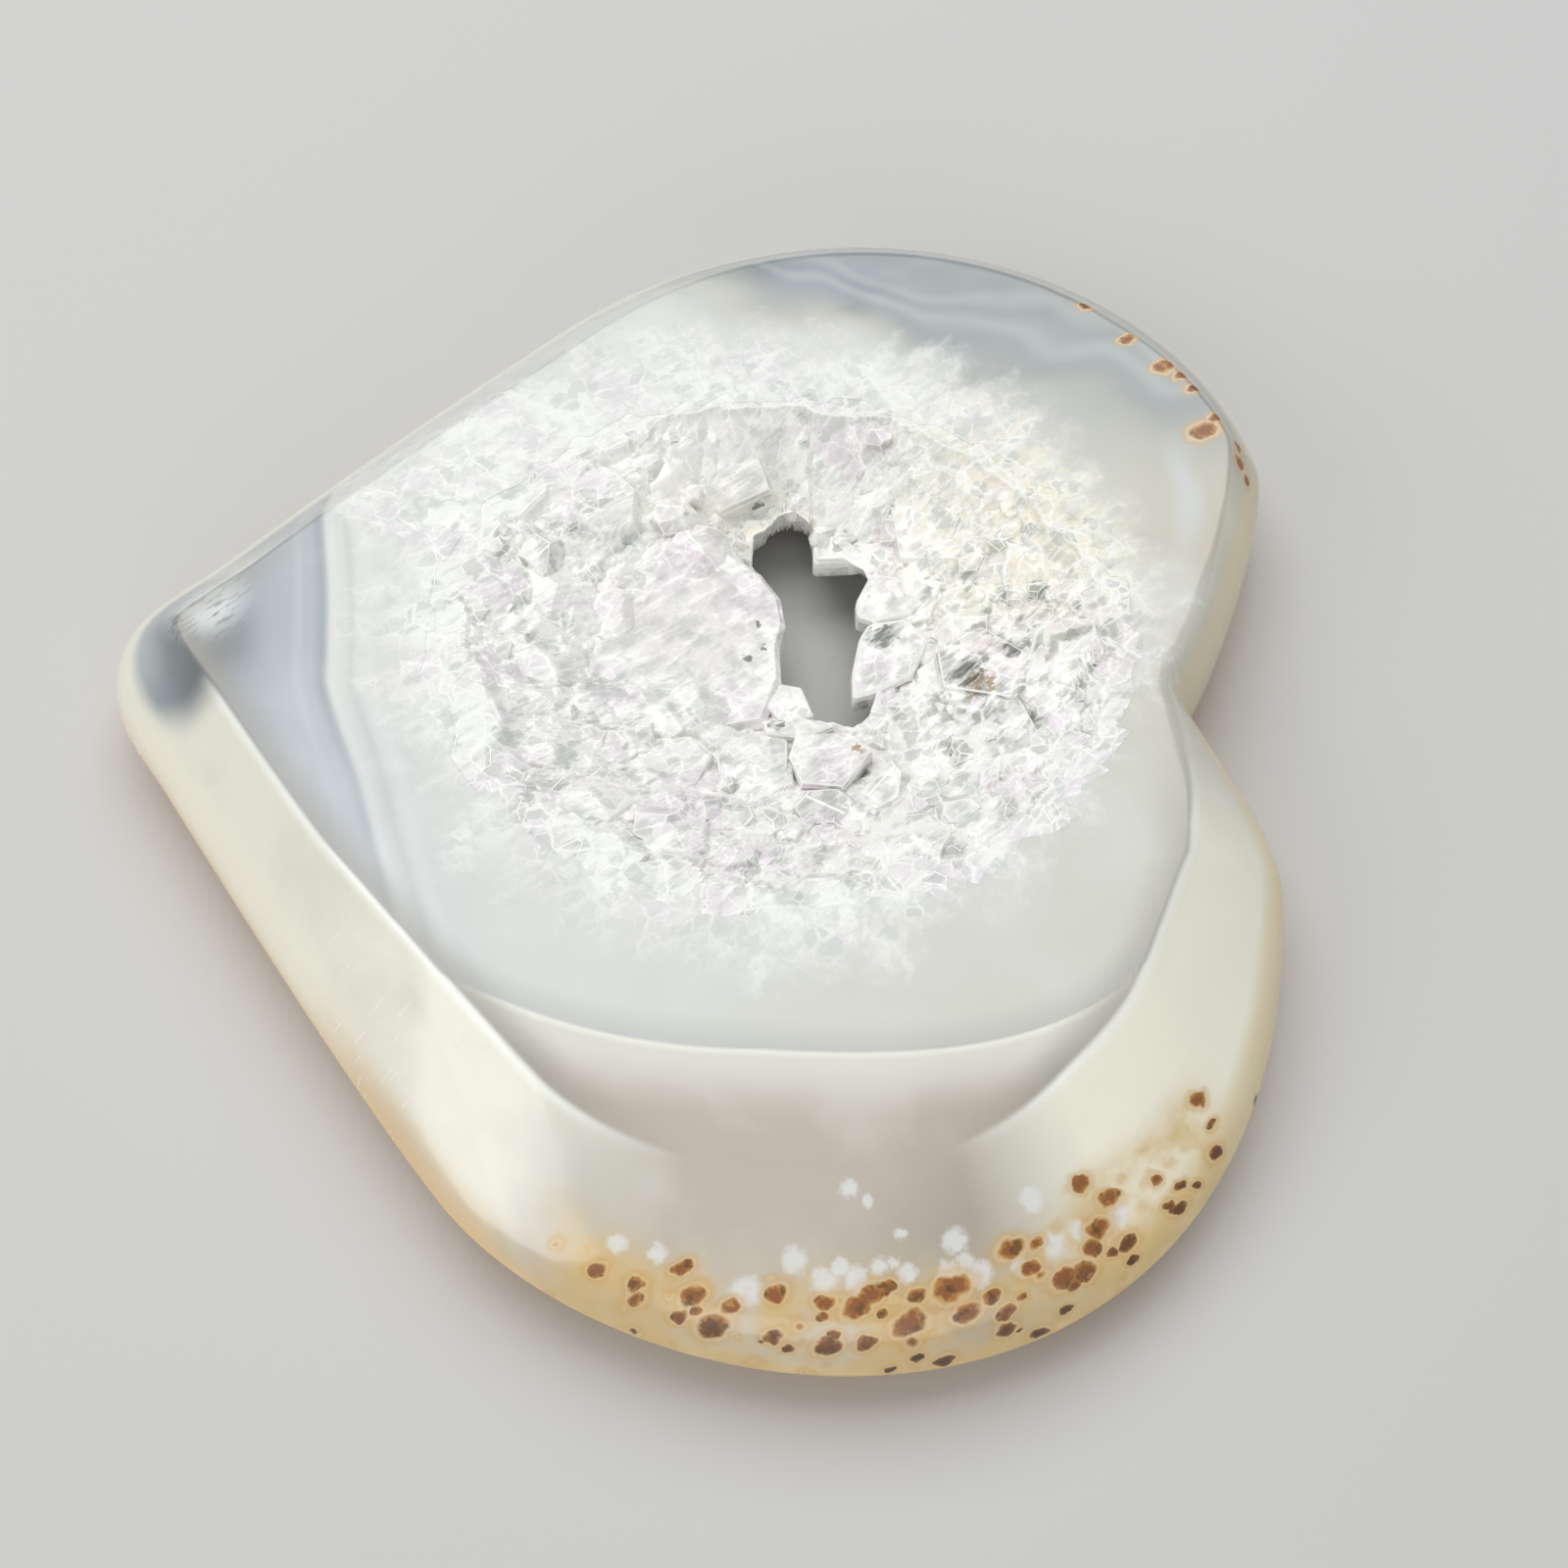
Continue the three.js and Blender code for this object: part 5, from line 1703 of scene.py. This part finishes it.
# %% [markdown]
# ## Polish and wear
#
# The polish is bright, but a stone held by hand is never ground perfectly flat: slow waves
# disturb its reflections, the specks are dull, short pale scratches cross the left bevel, and
# the very tip is bruised. All of this is far finer than the mesh, so the waves and the grain are
# a bump, and the rest is only colour and roughness. The bump uses few nodes, since Blender works
# its height out three times for every point it shades.

# %% Agate finish
AGATE_ROUGHNESS = 0.14
SCATTER_DEPTH = (1.0, 0.92, 0.80)
BRUISE = [((-43.6, -3.4, 5.2), 1.4), ((-42.0, -5.6, 5.4), 1.0), ((-41.2, -7.0, 5.6), 0.8)]
SCRATCH_ANGLE = math.radians(38)
SCRATCH_SIZE = (3.4, 0.34, 2.0)
SCRATCHED_PART = {"centre": (-17, -28), "radii": (12, 12), "softness": 0.8}
AGATE_IOR = 1.54
AGATE_SCATTER = 0.3
SCATTER_REACH = 1.4
WAVE_HEIGHT = 0.4

waves = agate.noise(agate_place, 0.16, detail=1.0)
grain = agate.noise(agate_place, 2.2, detail=2.0)
pits = agate.between(speck, -0.1, 0.5)
bruise = agate.between(nearest_mark(agate, torn_place, BRUISE), -0.2, 0.5)
scratch_place = agate.stretched(agate_place, SCRATCH_ANGLE, SCRATCH_SIZE)
scratches = agate.product(
    agate.between(agate.noise(scratch_place, 1.0, detail=2.0), 0.62, 0.70), on_bevel,
    soft_spot(agate, agate_place, **SCRATCHED_PART))
wear = agate.calc("MAXIMUM", scratches, bruise)
relief = agate.calc("ADD", waves, agate.product(grain, 0.03))
gloss = agate.calc("ADD", agate.between(grain, 0.3, 0.8, 0.0, 0.07), AGATE_ROUGHNESS)
gloss = agate.calc("ADD", gloss, agate.product(wear, 0.35))
gloss = agate.calc("ADD", gloss, agate.product(pits, 0.25), clamp=True)
colour = agate.mix(agate.product(wear, 0.7), colour, CLOUD_WHITE)
polished_agate = agate.finish({
    "Base Color": colour,
    "Roughness": gloss,
    "IOR": AGATE_IOR,
    "Normal": agate.bump(relief, WAVE_HEIGHT * MM, 0.55),
    "Subsurface Weight": AGATE_SCATTER,
    "Subsurface Radius": SCATTER_DEPTH,
    "Subsurface Scale": SCATTER_REACH * MM,
})
slab.data.materials.append(polished_agate)
print(f"agate material of {len(agate.tree.nodes)} nodes")

# %% [markdown]
# ## The quartz
#
# The crystals are glassy, but full of tiny veils, so they look white with a lavender breath and turn
# clear only in places, mostly beside the hole. The shader is white, with plain transmission where it is
# clear and the true refraction of quartz. The clear windows are marks in space, cut up by the grains of
# the mosaic, the strokes are a fine bump too, and worn edges are white, partly chipped and partly
# painted glints of light. The bed of the lining gets a milky kind without transmission, since it lies
# in its own shadow.

# %% Quartz material
WINDOW_GREY = screen_colour(150, 156, 148)
IRON_STAIN = screen_colour(158, 128, 84)
WINDOWS = [
    ((11.0, 15.4, 6.6), 1.3), ((14.6, 6.8, 6.6), 1.5), ((18.4, 11.0, 8.6), 1.3),
    ((21.0, 2.0, 9.8), 1.6), ((4.4, 17.4, 7.4), 1.2), ((15.4, -13.4, 11.2), 1.0),
    ((4.9, 6.2, 7.3), 0.4), ((5.5, 4.6, 7.2), 0.4), ((4.2, 3.4, 7.5), 0.5),
    ((7.0, -2.4, 7.0), 0.9), ((22.6, 9.0, 10.0), 1.0), ((24.4, 4.0, 10.6), 1.2),
]
STAINS = [((22.0, 1.2, 9.8), 1.9), ((13.2, -4.6, 8.6), 0.9), ((15.8, -2.0, 8.2), 0.7)]
RAGGED = {"scale": 0.9, "amount": 1.8, "detail": 3.0}
QUARTZ_IOR = 1.544
STROKE_HEIGHT = 0.6
CLEARNESS = 0.16
WINDOWS_CLEARER = 4


def quartz_recipe(name, clear):
    """Glassy quartz, as clear as asked, with white edges that are partly wear and partly painted
    glints.
    """
    quartz = Recipe(name)
    place = quartz.place()
    worn = quartz.stored("worn")
    shade, grain, veils, strokes = quartz_colour(quartz, place)
    fine = quartz.noise(place, 2.4, detail=3.0)
    ragged_place = disturbed(quartz, place, **RAGGED)
    window = quartz.product(
        quartz.between(nearest_mark(quartz, ragged_place, WINDOWS), 0.0, 0.25),
        quartz.between(grain, 0.25, 0.45, 0.15, 1.0), quartz.between(strokes, 0.56, 0.46, 0.3, 1.0))
    stain = quartz.product(
        quartz.between(nearest_mark(quartz, ragged_place, STAINS), 0.1, 0.5),
        quartz.between(fine, 0.42, 0.55))
    shade = quartz.layered(shade, [
        (quartz.product(window, 0.8), WINDOW_GREY),
        (quartz.product(stain, 0.8), IRON_STAIN),
        # White on the marked edges: partly wear, partly painted glints of light.
        (quartz.product(worn, 0.8), EDGE_WHITE),
    ])
    see_through = quartz.between(veils, 0.60, 0.40, 0.0, clear)
    window_clear = quartz.product(window, min(1, clear * WINDOWS_CLEARER))
    see_through = quartz.calc("MAXIMUM", see_through, window_clear)
    see_through = quartz.calc("MULTIPLY", see_through, quartz.calc("SUBTRACT", 1.0, worn), clamp=True)
    dull = quartz.calc("ADD", quartz.between(fine, 0.3, 0.8, 0.06, 0.22), quartz.product(worn, 0.2))
    return quartz.finish({
        "Base Color": shade,
        "Roughness": dull,
        "IOR": QUARTZ_IOR,
        "Transmission Weight": see_through,
        "Normal": quartz.bump(strokes, STROKE_HEIGHT * MM, 0.35),
    })


clear_quartz = quartz_recipe("clear quartz", CLEARNESS)
milky_quartz = quartz_recipe("milky quartz", 0.0)
lining.data.materials.append(milky_quartz)
for piece in hand_crystals:
    piece.data.materials.append(clear_quartz)
print("quartz materials made")

# %% [markdown]
# ## Growing the crystals
#
# The bowl itself is the surface that they grow on. Two numbers stored on it say where there is room,
# for large and for small ones: none under the listed crystals or at the hole's lip, and no large ones
# near the rim. Three sizes are grown in turn, and each becomes a plain mesh.
# Their sizes are in metres, as the tree's inputs take them.

# %% Grow the crystals
GROUND_STEP = 4
BOWL_SHARES = np.linspace(0.015, 1.04, 40)
GROWTHS = [
    {"name": "large", "Room": "room_large", "Spacing": 0.0058, "Smallest": 0.0013, "Largest": 0.0026,
     "Lean": 0.3, "Seed": 3},
    {"name": "middling", "Room": "room_small", "Spacing": 0.0023, "Smallest": 0.0007,
     "Largest": 0.0015, "Lean": 0.5, "Seed": 5},
    {"name": "small", "Room": "room_small", "Spacing": 0.0014, "Smallest": 0.0003,
     "Largest": 0.0008, "Lean": 0.6, "Seed": 8},
]
GROWTH_DEPTH = -0.6
SAW_HEIGHT = THICKNESS - 0.01
LIP_FREE = (0.02, 0.07)
RIM_FREE = (0.68, 0.84)


def growing_ground():
    """The bowl as an open surface, with the room for crystals stored on its points."""
    points = bowl_points(BOWL_SHARES)[::GROUND_STEP]
    rows, columns = points.shape[:2]
    faces = tyre_faces(rows, columns)
    faces = faces[np.ptp(faces % columns, axis=1) <= 1]
    ground_piece = mesh_piece("growing_ground", points.reshape(-1, 3), faces[:, ::-1])
    plan = points[..., :2].reshape(-1, 2)
    free = np.ones(len(plan))
    for shape in HAND_CRYSTALS.values():
        free[in_polygon(plan, np.array(shape["outline"]))] = 0
    off_lip = np.broadcast_to(smooth_step(*LIP_FREE, BOWL_SHARES), (rows, columns)).ravel()
    off_rim = np.broadcast_to(1 - smooth_step(*RIM_FREE, BOWL_SHARES), (rows, columns)).ravel()
    store_on_points(ground_piece, "room_small", free * off_lip)
    store_on_points(ground_piece, "room_large", free * off_lip * off_rim)
    return ground_piece


def set_inputs(modifier, values):
    """Fills a modifier's inputs by their names, through the sockets' identifiers."""
    for item in modifier.node_group.interface.items_tree:
        if item.item_type == "SOCKET" and item.in_out == "INPUT" and item.name in values:
            modifier[item.identifier] = values[item.name]


def grow(ground_piece, growth):
    """One size of crystals as a plain mesh."""
    modifier = ground_piece.modifiers.new(growth["name"], "NODES")
    modifier.node_group = crystals_on_surface
    set_inputs(modifier, {
        **growth, "Depth": GROWTH_DEPTH * MM, "Saw height": SAW_HEIGHT * MM,
        "Material": clear_quartz})
    bpy.context.view_layer.update()
    evaluated = ground_piece.evaluated_get(bpy.context.evaluated_depsgraph_get())
    mesh = bpy.data.meshes.new_from_object(evaluated)
    ground_piece.modifiers.remove(modifier)
    mesh.materials.clear()
    mesh.materials.append(clear_quartz)
    mesh.polygons.foreach_set("material_index", [0] * len(mesh.polygons))
    return mesh


growing = growing_ground()
grown_crystals = []
for growth in GROWTHS:
    crystal_mesh = grow(growing, growth)
    piece = bpy.data.objects.new(f"quartz_{growth['name']}", crystal_mesh)
    bpy.context.scene.collection.objects.link(piece)
    grown_crystals.append(piece)
    print(f"{growth['name']} crystals: {len(crystal_mesh.polygons)} faces")
bpy.data.objects.remove(growing)

# %% [markdown]
# ## Fixing the pieces to the frame
#
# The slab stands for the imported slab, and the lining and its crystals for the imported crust.
# Everything belongs to the one body of the stone.

# %% Ride on the frame
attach(slab, "root")
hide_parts("agate_slab")
for piece in [lining, *hand_crystals, *grown_crystals]:
    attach(piece, "root")
    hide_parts("crystal_crust")
print(f"{len(grown_crystals) + len(hand_crystals) + 2} pieces on the frame")

# %% [markdown]
# ## The floor
#
# The stone lies on a plain pale floor, as wide as any view needs. It is a hair lower than the
# stone's flat underside, because two faces in exactly one plane would hide each other, and it is
# declared as stage, so that it isn't taken for a piece of the object.

# %% Floor
FLOOR_SIZE = 3000.0
FLOOR_DROP = 0.05
FLOOR_COLOUR = screen_colour(205, 205, 202)
FLOOR_ROUGHNESS = 0.7

floor_recipe = Recipe("pale floor")
floor_material = floor_recipe.finish({"Base Color": FLOOR_COLOUR, "Roughness": FLOOR_ROUGHNESS})
half = FLOOR_SIZE / 2
floor = mesh_piece(
    "floor", [(-half, -half, 0), (half, -half, 0), (half, half, 0), (-half, half, 0)], [(0, 1, 2, 3)])
floor.location.z = -FLOOR_DROP * MM
floor.data.materials.append(floor_material)
floor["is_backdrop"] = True
print(f"floor {FLOOR_SIZE:.0f} mm wide")

# %% [markdown]
# ## The light
#
# The light is one broad soft lamp above and behind the stone, as wide as the sheet of sky that
# the flat top mirrors towards the camera, which gives it a milky sheen. The lower facet tilts
# away from that mirror and stays darker. Two low lamps from the left and the front lift the
# bevels and the rim. Their places and sizes are in metres. Colours are shown as they are, without
# a film curve.

# %% Light
WORLD_COLOUR = (0.92, 0.95, 1.0, 1.0)
WORLD_STRENGTH = 0.28
VIEW_TRANSFORM = "Standard"
LAMPS = [
    {"name": "behind", "from": (-0.05, 0.27, 0.55), "size": (0.75, 0.50), "power": 3.1},
    {"name": "left", "from": (-0.50, -0.30, 0.35), "size": (0.40, 0.30), "power": 1.0},
    {"name": "front", "from": (0.10, -0.60, 0.24), "size": (0.70, 0.30), "power": 1.15},
]
world = bpy.data.worlds.new("studio")
world.use_nodes = True
background = world.node_tree.nodes["Background"]
background.inputs["Color"].default_value = WORLD_COLOUR
background.inputs["Strength"].default_value = WORLD_STRENGTH
bpy.context.scene.world = world
bpy.context.scene.view_settings.view_transform = VIEW_TRANSFORM
for lamp in LAMPS:
    light = bpy.data.lights.new(lamp["name"], "AREA")
    light.shape = "RECTANGLE"
    light.size, light.size_y = lamp["size"]
    light.energy = lamp["power"]
    lamp_object = bpy.data.objects.new(lamp["name"], light)
    lamp_object.location = lamp["from"]
    aim = CAMERA_TARGET * MM - lamp_object.location
    lamp_object.rotation_mode = "QUATERNION"
    lamp_object.rotation_quaternion = aim.to_track_quat("-Z", "Y")
    bpy.context.scene.collection.objects.link(lamp_object)
print(f"{len(LAMPS)} lamps")

# %% [markdown]
# ## The sizes
#
# Both boxes, the imported model's and the visual model's, are printed. The visual model
# has to stay in the imported model's box.

# %% Sizes and finish
bpy.context.view_layer.update()
seen_low, seen_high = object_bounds()
sizes = {
    "cad": [list(cad_low), list(cad_high)],
    "visual": [list(seen_low), list(seen_high)],
}
for name, box in sizes.items():
    print(f"{name} box in mm:", [[round(value / MM, 2) for value in corner] for corner in box])
